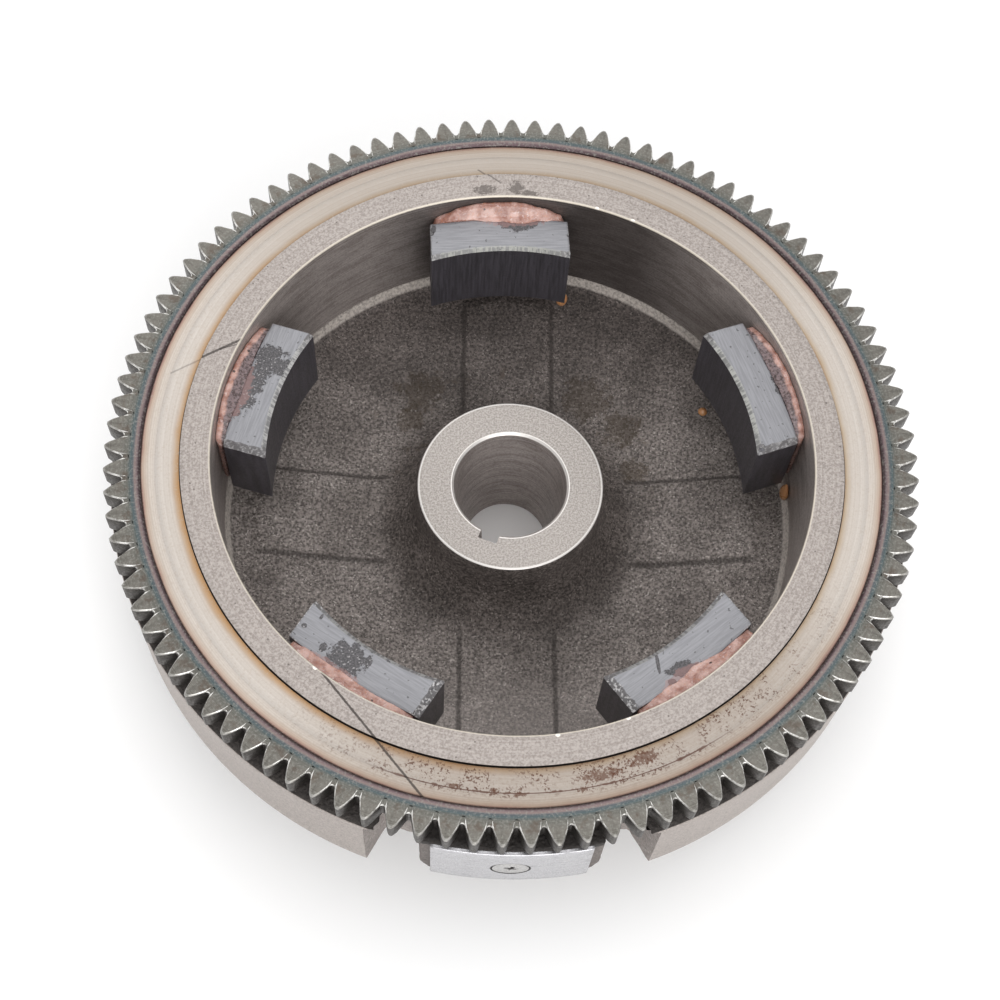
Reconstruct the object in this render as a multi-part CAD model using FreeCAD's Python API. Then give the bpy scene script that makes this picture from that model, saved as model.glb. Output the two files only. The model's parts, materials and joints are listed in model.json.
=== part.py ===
import FreeCAD, Part
import math
import os

# Flywheel of a small single-cylinder engine, with its starter ring gear, charging magnets and ignition
# pole. Millimetres, +Z along the crank axis from the fan side to the engine side. The origin is on the
# axis, in the fan-side boss face that the flywheel lies on. The ignition pole points along -Y.

# heights above the fan-side boss face
RIM_FACE_Z = 57.0
BAND_Z = 56.2
GEAR_TOP_Z = 56.9
GEAR_SEAT_Z = 50.0
SKIRT_TOP_Z = 47.5
SKIRT_BOTTOM_Z = 19.5
HUB_FACE_Z = 35.0
MAGNET_TOP_Z = 51.5
MAGNET_BOTTOM_Z = 28.0

# bowl, rim and skirt radii
BOWL_R = 75.0
RIM_STEP_R = 82.4
GEAR_BORE_R = 92.0
NECK_R = 95.0
SKIRT_R = 100.6
CORNER = 0.4

# hub with its 1:5 taper bore and keyway
HUB_R = 24.2
BORE_BIG_R = 14.7
BORE_SMALL_R = 11.2
BORE_CHAMFER = 0.55
KEYWAY_ANGLE = 249.6
KEYWAY_WIDTH = 5.0
KEYWAY_BOTTOM_R = 17.2

# web: its upper side rises outwards from where it meets the hub's fillet
WEB_INNER = (26.0, 9.0)
WEB_OUTER = (73.6, 19.2)
WEB_THICKNESS = 8.6
HUB_FILLET_R = 14.0
ARM_WIDTH = 23.9
ARM_RAISE = 0.8
ARM_REACH = (34.0, 68.0)

# fan side, which carries the fan and the pull-start cup
BOSS_R = 36.0
FAN_PITCH_R = 29.0
FAN_HOLE_R = 4.0
FAN_HOLE_DEPTH = 8.0
FAN_HOLES = 4
RIM_HEEL_R = 86.0

# starter ring gear, module 2
TEETH = 99
PITCH_R = TEETH * 2.0 / 2.0
TIP_R = PITCH_R + 2.0
ROOT_R = PITCH_R - 2.5
PRESSURE_ANGLE = math.radians(25.0)
TOOTH_CHAMFER = 0.5
GEAR_CHAMFER = 0.8
FIRST_TOOTH_ANGLE = 268.5

# charging magnets, glued in by hand, so that their spacing strays a little from 72 degrees
MAGNET_ANGLES = (19.1, 93.1, 164.0, 237.5, 307.6)
MAGNET_WIDTH = 37.2
MAGNET_FACE_R = 62.0
MAGNET_BACK_MID = 71.5
MAGNET_BACK_R = 150.0
MAGNET_CHAMFER = 1.0
GLUE_RISE = 2.0
GLUE_WIDTH = 36.0

# ignition pole: a pocket in the skirt, a cast seat in it, the magnet, the pole shoe and its screw
POLE_ANGLE = 270.0
POCKET_FLOOR_R = 91.0
POCKET_OUTER_HALF_ANGLE = 19.9
POCKET_INNER_HALF_ANGLE = 18.7
SEAT_WIDTH = 42.8
SEAT_R = 99.8
SEAT_BOTTOM_Z = 24.4
SEAT_CORNER_R = 6.0
SHOE_WIDTH = 37.7
SHOE_BACK_R = 97.4
SHOE_BOTTOM_Z = 24.6
SHOE_TOP_Z = 47.4
POLE_MAGNET_BACK = 91.6
POLE_MAGNET_WIDTH = 34.0
SCREW_Z = 35.4
SCREW_HEAD_R = 4.35
SCREW_R = 2.5
SCREW_CLEARANCE_R = 2.8
SCREW_LENGTH = 16.0
SCREW_RECESS_WIDTH = 1.2
SCREW_RECESS_LENGTH = 4.4
SCREW_RECESS_DEPTH = 1.8

AXIS = FreeCAD.Vector(0, 0, 1)
CENTRE = FreeCAD.Vector(0, 0, 0)
OVERRUN = 5.0


def polar(radius, degrees, z=0.0):
    turn = math.radians(degrees)
    return FreeCAD.Vector(radius * math.cos(turn), radius * math.sin(turn), z)


def rounded_outline(corners):
    """Closed wire through (x, z, corner radius) points in the XZ plane, each corner rounded by its radius."""
    ends = []
    count = len(corners)
    for i, (x, z, radius) in enumerate(corners):
        here = FreeCAD.Vector(x, 0, z)
        if radius == 0:
            ends.append((here, None, here))
            continue
        before = FreeCAD.Vector(corners[i - 1][0], 0, corners[i - 1][1]) - here
        after = FreeCAD.Vector(corners[(i + 1) % count][0], 0, corners[(i + 1) % count][1]) - here
        half = before.getAngle(after) / 2
        before.normalize()
        after.normalize()
        back = radius / math.tan(half)
        inward = before + after
        inward.normalize()
        middle = here + inward * (radius / math.sin(half) - radius)
        ends.append((here + before * back, middle, here + after * back))
    edges = []
    for i, (start, middle, end) in enumerate(ends):
        if middle is not None:
            edges.append(Part.Arc(start, middle, end).toShape())
        following = ends[(i + 1) % count][0]
        if end.distanceToPoint(following) > 1e-6:
            edges.append(Part.LineSegment(end, following).toShape())
    return Part.Wire(edges)


def revolved(corners):
    return Part.Face(rounded_outline(corners)).revolve(CENTRE, AXIS, 360)


def cylinder(radius, low, high):
    return Part.makeCylinder(radius, high - low, FreeCAD.Vector(0, 0, low))


def block(x_low, x_high, y_low, y_high, z_low, z_high):
    corner = FreeCAD.Vector(x_low, y_low, z_low)
    return Part.makeBox(x_high - x_low, y_high - y_low, z_high - z_low, corner)


def turned(shape, degrees):
    shape = shape.copy()
    shape.rotate(CENTRE, AXIS, degrees)
    return shape


def casting_body():
    web_low = WEB_INNER[1] - WEB_THICKNESS
    web_rim_low = WEB_OUTER[1] - WEB_THICKNESS
    return revolved([
        (BORE_SMALL_R, 0, 0),
        (BORE_BIG_R, HUB_FACE_Z - BORE_CHAMFER, 0),
        (BORE_BIG_R + BORE_CHAMFER, HUB_FACE_Z, 0),
        (HUB_R, HUB_FACE_Z, CORNER),
        (HUB_R + 0.6, WEB_INNER[1], HUB_FILLET_R),
        (WEB_OUTER[0], WEB_OUTER[1], 2.5),
        (BOWL_R, WEB_OUTER[1] + 3.6, 0),
        (BOWL_R, RIM_FACE_Z, CORNER),
        (RIM_STEP_R, RIM_FACE_Z, 0),
        (RIM_STEP_R, BAND_Z, 0),
        (GEAR_BORE_R, BAND_Z, 0.8),
        (GEAR_BORE_R, GEAR_SEAT_Z, 0),
        (NECK_R, GEAR_SEAT_Z, 0),
        (NECK_R, SKIRT_TOP_Z, 0),
        (SKIRT_R, SKIRT_TOP_Z, CORNER),
        (SKIRT_R, SKIRT_BOTTOM_Z, CORNER),
        (RIM_HEEL_R, SKIRT_BOTTOM_Z, 4.0),
        (WEB_OUTER[0], web_rim_low, 8.0),
        (BOSS_R + 2.5, web_low + 2.6, 3.0),
        (BOSS_R, 0, CORNER)])


def web_arms():
    """Four shallow raised arms in a cross on the web, following its slope."""
    slope = (WEB_OUTER[1] - WEB_INNER[1]) / (WEB_OUTER[0] - WEB_INNER[0])
    near, far = ARM_REACH
    near_z = WEB_INNER[1] + slope * (near - WEB_INNER[0])
    far_z = WEB_INNER[1] + slope * (far - WEB_INNER[0])
    sink = WEB_THICKNESS / 2
    ring = revolved([(near, near_z - sink, 0), (near, near_z + ARM_RAISE, 0),
                     (far, far_z + ARM_RAISE, 0), (far, far_z - sink, 0)])
    half = ARM_WIDTH / 2
    bar = block(-far, far, -half, half, 0, RIM_FACE_Z)
    return ring.common(bar.fuse(turned(bar, 90)))


def pole_pocket():
    """The gap in the skirt beside the pole, wider at its mouth than at its floor."""
    outer_r = SKIRT_R + OVERRUN
    corners = [polar(POCKET_FLOOR_R, POLE_ANGLE - POCKET_INNER_HALF_ANGLE),
               polar(outer_r, POLE_ANGLE - POCKET_OUTER_HALF_ANGLE),
               polar(outer_r, POLE_ANGLE + POCKET_OUTER_HALF_ANGLE),
               polar(POCKET_FLOOR_R, POLE_ANGLE + POCKET_INNER_HALF_ANGLE)]
    edges = [Part.LineSegment(corners[0], corners[1]).toShape(),
             Part.Arc(corners[1], polar(outer_r, POLE_ANGLE), corners[2]).toShape(),
             Part.LineSegment(corners[2], corners[3]).toShape(),
             Part.Arc(corners[3], polar(POCKET_FLOOR_R, POLE_ANGLE), corners[0]).toShape()]
    floor = Part.Face(Part.Wire(edges))
    floor.translate(FreeCAD.Vector(0, 0, SKIRT_BOTTOM_Z - OVERRUN))
    return floor.extrude(FreeCAD.Vector(0, 0, SKIRT_TOP_Z - SKIRT_BOTTOM_Z + OVERRUN))


def pole_seat():
    """The cast block that holds the ignition magnet, with a slot right down through it."""
    half = SEAT_WIDTH / 2
    outline = rounded_outline([(-half, SKIRT_TOP_Z, 0), (half, SKIRT_TOP_Z, 0),
                               (half, SEAT_BOTTOM_Z, SEAT_CORNER_R), (-half, SEAT_BOTTOM_Z, SEAT_CORNER_R)])
    face = Part.Face(outline)
    face.translate(FreeCAD.Vector(0, -POCKET_FLOOR_R + OVERRUN, 0))
    seat = face.extrude(FreeCAD.Vector(0, -OVERRUN * 4, 0)).common(cylinder(SEAT_R, 0, RIM_FACE_Z))
    seat = seat.cut(cylinder(POCKET_FLOOR_R - 1.0, 0, RIM_FACE_Z))
    slot = block(-SHOE_WIDTH / 2, SHOE_WIDTH / 2, -SKIRT_R - OVERRUN, -POLE_MAGNET_BACK,
                 SEAT_BOTTOM_Z - OVERRUN, SKIRT_TOP_Z)
    return seat.cut(slot)


def screw_blank(head_r, shank_r, length):
    """A countersunk screw's outside: its flat head at the skirt's radius, its shank towards the axis."""
    head_depth = head_r - shank_r
    head = Part.makeCone(head_r, shank_r, head_depth)
    shank = Part.makeCylinder(shank_r, length - head_depth, FreeCAD.Vector(0, 0, head_depth))
    screw = head.fuse(shank).removeSplitter()
    screw.rotate(CENTRE, FreeCAD.Vector(1, 0, 0), -90)
    screw.translate(FreeCAD.Vector(0, -SKIRT_R, SCREW_Z))
    return screw


def keyway():
    depth = block(0, KEYWAY_BOTTOM_R, -KEYWAY_WIDTH / 2, KEYWAY_WIDTH / 2, -OVERRUN, HUB_FACE_Z + OVERRUN)
    return turned(depth, KEYWAY_ANGLE)


def flywheel_casting():
    body = casting_body().fuse(web_arms()).cut(pole_pocket()).fuse(pole_seat())
    body = body.cut(keyway()).cut(screw_blank(SCREW_HEAD_R, SCREW_R, SCREW_LENGTH))
    for i in range(FAN_HOLES):
        centre = polar(FAN_PITCH_R, 45 + i * 360 / FAN_HOLES)
        body = body.cut(Part.makeCylinder(FAN_HOLE_R, FAN_HOLE_DEPTH, centre))
    return body.removeSplitter()


def involute_half_angle(radius):
    """Half the angle that a tooth fills at a radius, by the involute of its base circle."""
    base_r = PITCH_R * math.cos(PRESSURE_ANGLE)
    local = math.acos(base_r / radius)
    at_pitch = math.pi / (2 * TEETH)
    return math.degrees(at_pitch + math.tan(PRESSURE_ANGLE) - PRESSURE_ANGLE - math.tan(local) + local)


def gear_wire(z, inset):
    """The toothed outline at a height, its tips and flanks drawn in by the inset."""
    tip_r = TIP_R - inset
    middle_r = (tip_r + ROOT_R) / 2
    pitch = 360 / TEETH
    edges = []
    for i in range(TEETH):
        centre = FIRST_TOOTH_ANGLE + i * pitch
        lift = math.degrees(inset / PITCH_R) * 0.6
        root, middle, tip = [involute_half_angle(r) - lift for r in (ROOT_R, middle_r, tip_r)]
        points = [polar(ROOT_R, centre - root, z), polar(middle_r, centre - middle, z),
                  polar(tip_r, centre - tip, z), polar(tip_r, centre + tip, z),
                  polar(middle_r, centre + middle, z), polar(ROOT_R, centre + root, z)]
        edges.append(Part.Arc(*points[:3]).toShape())
        edges.append(Part.LineSegment(points[2], points[3]).toShape())
        edges.append(Part.Arc(*points[3:]).toShape())
        edges.append(Part.LineSegment(points[5], polar(ROOT_R, centre + pitch - root, z)).toShape())
    return Part.Wire(edges)


def ring_gear():
    """A steel ring shrunk on to its seat; the teeth's top edges are bevelled for the starter pinion."""
    bevel_z = GEAR_TOP_Z - TOOTH_CHAMFER
    straight = Part.Face(gear_wire(GEAR_SEAT_Z, 0)).extrude(FreeCAD.Vector(0, 0, bevel_z - GEAR_SEAT_Z))
    bevelled = Part.makeLoft([gear_wire(bevel_z, 0), gear_wire(GEAR_TOP_Z, TOOTH_CHAMFER)], True, True)
    blank = revolved([(0, GEAR_SEAT_Z, 0), (GEAR_BORE_R, GEAR_SEAT_Z, 0),
                      (GEAR_BORE_R, GEAR_TOP_Z - GEAR_CHAMFER, 0),
                      (GEAR_BORE_R + GEAR_CHAMFER, GEAR_TOP_Z, 0), (0, GEAR_TOP_Z, 0)])
    return straight.fuse(bevelled).cut(blank)


def magnet_blank(low, high, width, back_offset):
    """A block along +X between the magnet's face radius and its back arc moved out by an offset."""
    bar = block(0, BOWL_R + OVERRUN, -width / 2, width / 2, low, high)
    back_centre = FreeCAD.Vector(MAGNET_BACK_MID - MAGNET_BACK_R, 0, low)
    back = Part.makeCylinder(MAGNET_BACK_R + back_offset, high - low, back_centre)
    return bar.common(back)


def charge_magnet():
    blank = magnet_blank(MAGNET_BOTTOM_Z, MAGNET_TOP_Z, MAGNET_WIDTH, 0)
    face = cylinder(MAGNET_FACE_R, MAGNET_BOTTOM_Z, MAGNET_TOP_Z)
    bevel = Part.makeCone(MAGNET_FACE_R, MAGNET_FACE_R + MAGNET_CHAMFER, MAGNET_CHAMFER,
                          FreeCAD.Vector(0, 0, MAGNET_TOP_Z - MAGNET_CHAMFER))
    return blank.cut(face).cut(bevel)


def magnet_adhesive():
    """The glue that fills the gap between a magnet's flat-ish back and the bowl's wall."""
    low = MAGNET_BOTTOM_Z + 1.0
    high = MAGNET_TOP_Z + GLUE_RISE
    gap = block(0, BOWL_R + OVERRUN, -GLUE_WIDTH / 2, GLUE_WIDTH / 2, low, high).common(
        cylinder(BOWL_R, low, high))
    return gap.cut(magnet_blank(low, high, MAGNET_WIDTH, 0))


def pole_shoe():
    """The outer steel plate, turned to the skirt's radius, with a countersunk hole."""
    half = SHOE_WIDTH / 2
    shell = cylinder(SKIRT_R, SHOE_BOTTOM_Z, SHOE_TOP_Z).cut(cylinder(SHOE_BACK_R, SHOE_BOTTOM_Z, SHOE_TOP_Z))
    plate = shell.common(block(-half, half, -SKIRT_R - OVERRUN, 0, SHOE_BOTTOM_Z, SHOE_TOP_Z))
    return plate.cut(screw_blank(SCREW_HEAD_R, SCREW_R, SCREW_LENGTH))


def ignition_magnet():
    """The block magnet behind the pole shoe, with a clearance hole for the screw."""
    half = POLE_MAGNET_WIDTH / 2
    bar = block(-half, half, -SKIRT_R, -POLE_MAGNET_BACK, SHOE_BOTTOM_Z, SHOE_TOP_Z)
    hole = Part.makeCylinder(SCREW_CLEARANCE_R, SKIRT_R, FreeCAD.Vector(0, 0, SCREW_Z),
                             FreeCAD.Vector(0, -1, 0))
    return bar.common(cylinder(SHOE_BACK_R, SHOE_BOTTOM_Z, SHOE_TOP_Z)).cut(hole)


def pole_shoe_screw():
    """A countersunk machine screw with a cross recess, its head turned flush with the shoe."""
    screw = screw_blank(SCREW_HEAD_R, SCREW_R, SCREW_LENGTH).common(cylinder(SKIRT_R, 0, RIM_FACE_Z))
    reach = SCREW_RECESS_LENGTH / 2
    half = SCREW_RECESS_WIDTH / 2
    floor = -SKIRT_R + SCREW_RECESS_DEPTH
    for length, height in ((reach, half), (half, reach)):
        screw = screw.cut(block(-length, length, -SKIRT_R - OVERRUN, floor, SCREW_Z - height, SCREW_Z + height))
    return screw


def write(node, shape):
    solids = shape.Solids
    shape = solids[0] if len(solids) == 1 else Part.makeCompound(solids)
    box = shape.BoundBox
    print(f"{node}: {len(solids)} solid, valid {shape.isValid()}, {shape.Volume / 1000:.2f} cm3, "
          f"z {box.ZMin:.2f} to {box.ZMax:.2f}")
    shape.exportStep(os.path.join("parts", node + ".step"))


os.makedirs("parts", exist_ok=True)
write("flywheel_casting", flywheel_casting())
write("ring_gear", ring_gear())
magnet = charge_magnet()
adhesive = magnet_adhesive()
for number, angle in enumerate(MAGNET_ANGLES, start=1):
    write(f"charge_magnet_{number}", turned(magnet, angle))
    write(f"magnet_adhesive_{number}", turned(adhesive, angle))
write("ignition_magnet", ignition_magnet())
write("pole_shoe", pole_shoe())
write("pole_shoe_screw", pole_shoe_screw())
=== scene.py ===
import json
import math
import random

import bmesh
import bpy
from mathutils import Matrix, Vector, noise

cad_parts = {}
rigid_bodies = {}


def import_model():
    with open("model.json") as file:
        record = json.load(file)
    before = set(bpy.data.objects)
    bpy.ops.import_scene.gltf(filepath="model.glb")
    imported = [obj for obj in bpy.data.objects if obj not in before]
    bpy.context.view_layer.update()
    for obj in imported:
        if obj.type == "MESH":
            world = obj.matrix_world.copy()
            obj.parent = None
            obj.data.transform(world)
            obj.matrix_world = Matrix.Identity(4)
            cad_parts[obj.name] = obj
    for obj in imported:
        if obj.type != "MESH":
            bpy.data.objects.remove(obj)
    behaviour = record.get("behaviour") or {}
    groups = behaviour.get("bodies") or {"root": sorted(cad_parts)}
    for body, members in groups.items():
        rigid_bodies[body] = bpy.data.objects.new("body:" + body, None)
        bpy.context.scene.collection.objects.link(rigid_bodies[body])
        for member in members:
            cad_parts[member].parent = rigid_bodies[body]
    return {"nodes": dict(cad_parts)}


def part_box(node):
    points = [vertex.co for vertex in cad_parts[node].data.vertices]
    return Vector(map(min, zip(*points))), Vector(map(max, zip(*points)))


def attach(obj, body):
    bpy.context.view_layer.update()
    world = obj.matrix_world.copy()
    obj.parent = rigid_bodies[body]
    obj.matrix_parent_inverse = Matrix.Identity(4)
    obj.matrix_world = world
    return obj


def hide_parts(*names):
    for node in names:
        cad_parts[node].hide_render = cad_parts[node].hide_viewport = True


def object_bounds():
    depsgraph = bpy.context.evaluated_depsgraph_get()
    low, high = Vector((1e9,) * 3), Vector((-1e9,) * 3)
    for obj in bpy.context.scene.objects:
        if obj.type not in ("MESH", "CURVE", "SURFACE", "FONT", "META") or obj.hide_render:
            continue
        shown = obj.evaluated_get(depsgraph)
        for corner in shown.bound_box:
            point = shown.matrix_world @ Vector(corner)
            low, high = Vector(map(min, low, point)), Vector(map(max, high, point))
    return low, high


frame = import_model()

cad_low, cad_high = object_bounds()
MM = 0.001


# The stand and the lights. A white matt table under the part, an even white surround, one large soft lamp in
# front, and two weaker ones overhead and behind. The lens looks down into the bowl from the front, turned slightly.
def paint(text):
    """An sRGB hex colour as linear red, green, blue and alpha."""
    parts = [int(text[i:i + 2], 16) / 255 for i in (1, 3, 5)]
    return [c / 12.92 if c < 0.04045 else ((c + 0.055) / 1.055) ** 2.4 for c in parts] + [1.0]


def add(kind, **parts):
    """Adds a node to the tree in hand. Small-letter words set it up; the rest are inputs (_0 is the first), each
    a value, a hex colour or a socket."""
    made = tree.nodes.new("ShaderNode" + kind)
    for word, value in parts.items():
        if word == "stops":
            ramp = made.color_ramp.elements
            while len(ramp) < len(value):
                ramp.new(1.0)
            for stop, (place, colour) in zip(ramp, value):
                stop.position = place
                stop.color = paint(colour)
            continue
        if word[0].islower():
            setattr(made, word, value)
            continue
        socket = made.inputs[int(word[1:]) if word[0] == "_" else word.replace("_", " ")]
        if isinstance(value, bpy.types.NodeSocket):
            tree.links.new(value, socket)
        else:
            socket.default_value = paint(value) if isinstance(value, str) else value
    return made


def blank_material(name):
    """Starts a material, and makes its tree and its shader the ones in hand."""
    global tree, shader
    made = bpy.data.materials.new(name)
    made.use_nodes = True
    tree = made.node_tree
    tree.nodes.clear()
    shader = add("BsdfPrincipled")
    add("OutputMaterial", Surface=shader.outputs[0])
    return made


TABLE_SIZE = 6.0
bpy.ops.object.select_all(action="DESELECT")
bpy.ops.mesh.primitive_plane_add(size=TABLE_SIZE, location=(0, 0, cad_low.z - 0.0002))
table = bpy.context.object
table.name = "table"
# White laminate: matt, almost no colour.
table_white = blank_material("white_laminate_matt")
shader.inputs["Base Color"].default_value = paint("#FEFEFE")
shader.inputs["Roughness"].default_value = 0.75
shader.inputs["Specular IOR Level"].default_value = 0.2
table.data.materials.append(table_white)

world = bpy.context.scene.world or bpy.data.worlds.new("studio")
bpy.context.scene.world = world
world.use_nodes = True
tree = world.node_tree
tree.nodes.clear()
add("OutputWorld", Surface=add("Background", Color="#FFFFFF", Strength=0.86).outputs[0])

# name, position, size, watts; each is aimed at the part
LAMPS = (("lamp_back", (-0.25, 1.05, 1.05), 0.90, 3.0),
         ("lamp_overhead", (0.15, 0.25, 1.40), 0.70, 2.5),
         ("lamp_front", (0.25, -1.20, 0.75), 1.00, 9.0))
for name, place, size, watts in LAMPS:
    data = bpy.data.lights.new(name, "AREA")
    data.size = size
    data.energy = watts
    lamp = bpy.data.objects.new(name, data)
    bpy.context.collection.objects.link(lamp)
    lamp.location = place
    lamp.rotation_euler = Vector(place).to_track_quat("Z", "Y").to_euler()

LENS_MM = 61.75
LENS_AIM = Vector((-0.00176, 0.0, -0.0029))    # from the middle of the part's box
LENS_AWAY = 0.45405
LENS_TURN = math.radians(-4.4)
LENS_HEIGHT = math.radians(64.08)
LENS_ROLL = math.radians(5.03)
back = Vector((math.sin(LENS_TURN) * math.cos(LENS_HEIGHT), -math.cos(LENS_TURN) * math.cos(LENS_HEIGHT),
    math.sin(LENS_HEIGHT)))
level = Vector((math.cos(LENS_TURN), math.sin(LENS_TURN), 0))
right = Matrix.Rotation(LENS_ROLL, 3, back) @ level
up = back.cross(right)
camera_data = bpy.data.cameras.new("camera")
camera_data.lens = LENS_MM
camera_data.sensor_width = 36.0
camera_data.shift_x = -0.0023
camera = bpy.data.objects.new("camera", camera_data)
bpy.context.collection.objects.link(camera)
camera_place = (cad_low + cad_high) / 2 + LENS_AIM + back * LENS_AWAY
camera.matrix_world = Matrix.Translation(camera_place) @ Matrix((right, up, back)).transposed().to_4x4()
bpy.context.scene.camera = camera
bpy.context.scene.view_settings.view_transform = "Standard"


# The flywheel casting. Grey iron, cast in sand, shot blasted, then turned on its rim, bowl wall, skirt, hub and
# bore. The web, the underside and the ignition magnet's pocket are left as cast, so they stay rough and dark.
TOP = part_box("flywheel_casting")[1].z / MM     # the rim face
TURN_STEPS = 432
BOWL_R = 75.0
STEP_R = 82.4
BAND_Z = TOP - 0.8
GEAR_BORE_R = 92.0
SKIRT_R = 100.6
HUB_Z = 35.0
SEAM_R = 88.5
WEB_RISE = (19.2 - 9.0) / (73.6 - 26.0)
WEB_AT = (26.0, 9.0)
# radius, height, corner radius, spacing of the points along the run that follows
CASTING_SECTION = (
    (11.2, 0, 0, 3.0), (14.7, 34.45, 0, 9), (15.25, HUB_Z, 0, 1.3), (24.2, HUB_Z, 0.5, 1.2),
    (24.8, 9.0, 14, 1.0), (73.6, 19.2, 2.5, 9), (BOWL_R, 22.8, 0.6, 3.5), (BOWL_R, TOP, 0.45, 1.2),
    (STEP_R, TOP, 0.12, 9), (STEP_R, BAND_Z - 0.25, 0, 9),
    (STEP_R + 0.2, BAND_Z - 0.25, 0, 9), (STEP_R + 0.28, BAND_Z, 0, 1.2), (SEAM_R - 0.12, BAND_Z, 0, 9),
    (SEAM_R, BAND_Z - 0.08, 0, 9), (SEAM_R + 0.12, BAND_Z, 0, 1.2), (GEAR_BORE_R, BAND_Z, 0.3, 9),
    (GEAR_BORE_R, 50.0, 0, 9), (95.0, 50.0, 0, 9), (95.0, 47.5, 0, 1.0), (SKIRT_R, 47.5, 0.4, 3.0),
    (SKIRT_R, 19.5, 0.5, 1.6), (86.0, 19.5, 4.0, 1.6), (73.6, 10.6, 8.0, 1.6), (38.5, 3.0, 3.0, 1.6),
    (36.0, 0, 0.6, 1.6))
ARC_STEP = 0.9


def rounded(corners):
    """The points of a closed section: corners rounded by their radius, and runs divided by their spacing."""
    arcs = []
    for i, (x, z, radius, _) in enumerate(corners):
        here = Vector((x, z))
        to_last = (Vector(corners[i - 1][:2]) - here).normalized()
        to_next = (Vector(corners[(i + 1) % len(corners)][:2]) - here).normalized()
        if radius == 0:
            arcs.append([here])
            continue
        half = to_last.angle(to_next) / 2
        centre = here + (to_last + to_next).normalized() * (radius / math.sin(half))
        start = here + to_last * (radius / math.tan(half)) - centre
        end = here + to_next * (radius / math.tan(half)) - centre
        first = math.atan2(start.y, start.x)
        sweep = (math.atan2(end.y, end.x) - first + math.pi) % math.tau - math.pi
        count = max(3, round(abs(sweep) * radius / ARC_STEP))
        arcs.append([centre + radius * Vector((math.cos(first + sweep * k / count),
            math.sin(first + sweep * k / count))) for k in range(count + 1)])
    points = []
    for i, arc in enumerate(arcs):
        run = arcs[(i + 1) % len(arcs)][0] - arc[-1]
        count = max(1, round(run.length / corners[i][3]))
        points += arc + [arc[-1] + run * k / count for k in range(1, count)]
    return points


def take(*pieces):
    """Selects only these pieces and makes the last one active."""
    bpy.ops.object.select_all(action="DESELECT")
    for piece in pieces:
        piece.select_set(True)
    bpy.context.view_layer.objects.active = pieces[-1]


def start_piece(name, primitive, **shape):
    """Adds a primitive by itself, open in edit mode, and gives its object."""
    if bpy.context.mode != "OBJECT":
        bpy.ops.object.mode_set(mode="OBJECT")
    bpy.ops.object.select_all(action="DESELECT")
    getattr(bpy.ops.mesh, f"primitive_{primitive}_add")(**shape)
    piece = bpy.context.object
    piece.name = name
    bpy.ops.object.mode_set(mode="EDIT")
    bpy.context.tool_settings.mesh_select_mode = (True, False, False)
    return piece


def block(name, size, place=(0, 0, 0)):
    """A box of this size at this place, in millimetres, left open in edit mode."""
    piece = start_piece(name, "cube", size=1)
    bpy.ops.transform.resize(value=[s * MM for s in size])
    bpy.ops.transform.translate(value=[p * MM for p in place])
    return piece


def pick(piece, kind, test):
    """Selects only those edges or faces of the open mesh that pass the test."""
    bpy.context.tool_settings.mesh_select_mode = (False, kind == "edges", kind == "faces")
    bpy.ops.mesh.select_all(action="DESELECT")
    mesh = bmesh.from_edit_mesh(piece.data)
    for part in getattr(mesh, kind):
        if test(part):
            part.select_set(True)
    bmesh.update_edit_mesh(piece.data)


def pick_edges(piece, test):
    """Selects only the edges whose two ends pass a test given in millimetres."""
    pick(piece, "edges", lambda edge: test(edge.verts[0].co / MM, edge.verts[1].co / MM))


def close_piece(weld=0.00001):
    """Joins doubled points, points the faces outwards and goes back to object mode."""
    bpy.ops.mesh.select_all(action="SELECT")
    bpy.ops.mesh.remove_doubles(threshold=weld)
    bpy.ops.mesh.normals_make_consistent(inside=False)
    bpy.ops.object.mode_set(mode="OBJECT")
    bpy.ops.object.transform_apply(location=True, rotation=True, scale=True)


def spin_section(name, corners, steps, sweep=math.tau, start=0.0):
    """A turned piece: a ring of points laid on the section and spun about the axis."""
    points = rounded(corners)
    piece = start_piece(name, "circle", vertices=len(points), radius=0.05)
    mesh = bmesh.from_edit_mesh(piece.data)
    mesh.verts.ensure_lookup_table()
    for vert, point in zip(mesh.verts, points):
        vert.co = Vector((point.x * math.cos(start), point.x * math.sin(start), point.y)) * MM
    bmesh.update_edit_mesh(piece.data)
    bpy.ops.mesh.select_all(action="SELECT")
    if sweep < math.tau:
        bpy.ops.mesh.edge_face_add()
    bpy.ops.mesh.spin(steps=steps, angle=-sweep, center=(0, 0, 0), axis=(0, 0, 1))
    close_piece()
    return piece


def use_modifier(piece, kind, **settings):
    """Adds a modifier with its settings and applies it."""
    take(piece)
    made = piece.modifiers.new(kind.lower(), kind)
    for word, value in settings.items():
        setattr(made, word, value)
    bpy.ops.object.modifier_apply(modifier=made.name)


def weigh(piece, name, weight):
    """A vertex group whose weights come from each point's place, in millimetres."""
    group = piece.vertex_groups.new(name=name)
    for vert in piece.data.vertices:
        value = weight(*(vert.co / MM))
        if value > 0:
            group.add([vert.index], min(value, 1.0), "REPLACE")


def roughen(piece, group, grain, depth, depth_of_noise=2):
    """Sand-mould lumps: moves the group's points in and out by a cloud pattern. Sizes in millimetres."""
    texture = bpy.data.textures.new(group + "_lumps", "CLOUDS")
    texture.noise_scale = grain * MM
    texture.noise_depth = depth_of_noise
    use_modifier(piece, "DISPLACE", texture=texture, texture_coords="LOCAL", vertex_group=group,
        strength=depth * MM * 2, mid_level=0.5)


def carve(piece, tool, operation="DIFFERENCE"):
    """Cuts a tool from the piece, or welds it on, and throws the tool away."""
    use_modifier(piece, "BOOLEAN", operation=operation, solver="MANIFOLD", object=tool)
    bpy.data.objects.remove(tool, do_unlink=True)


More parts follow.
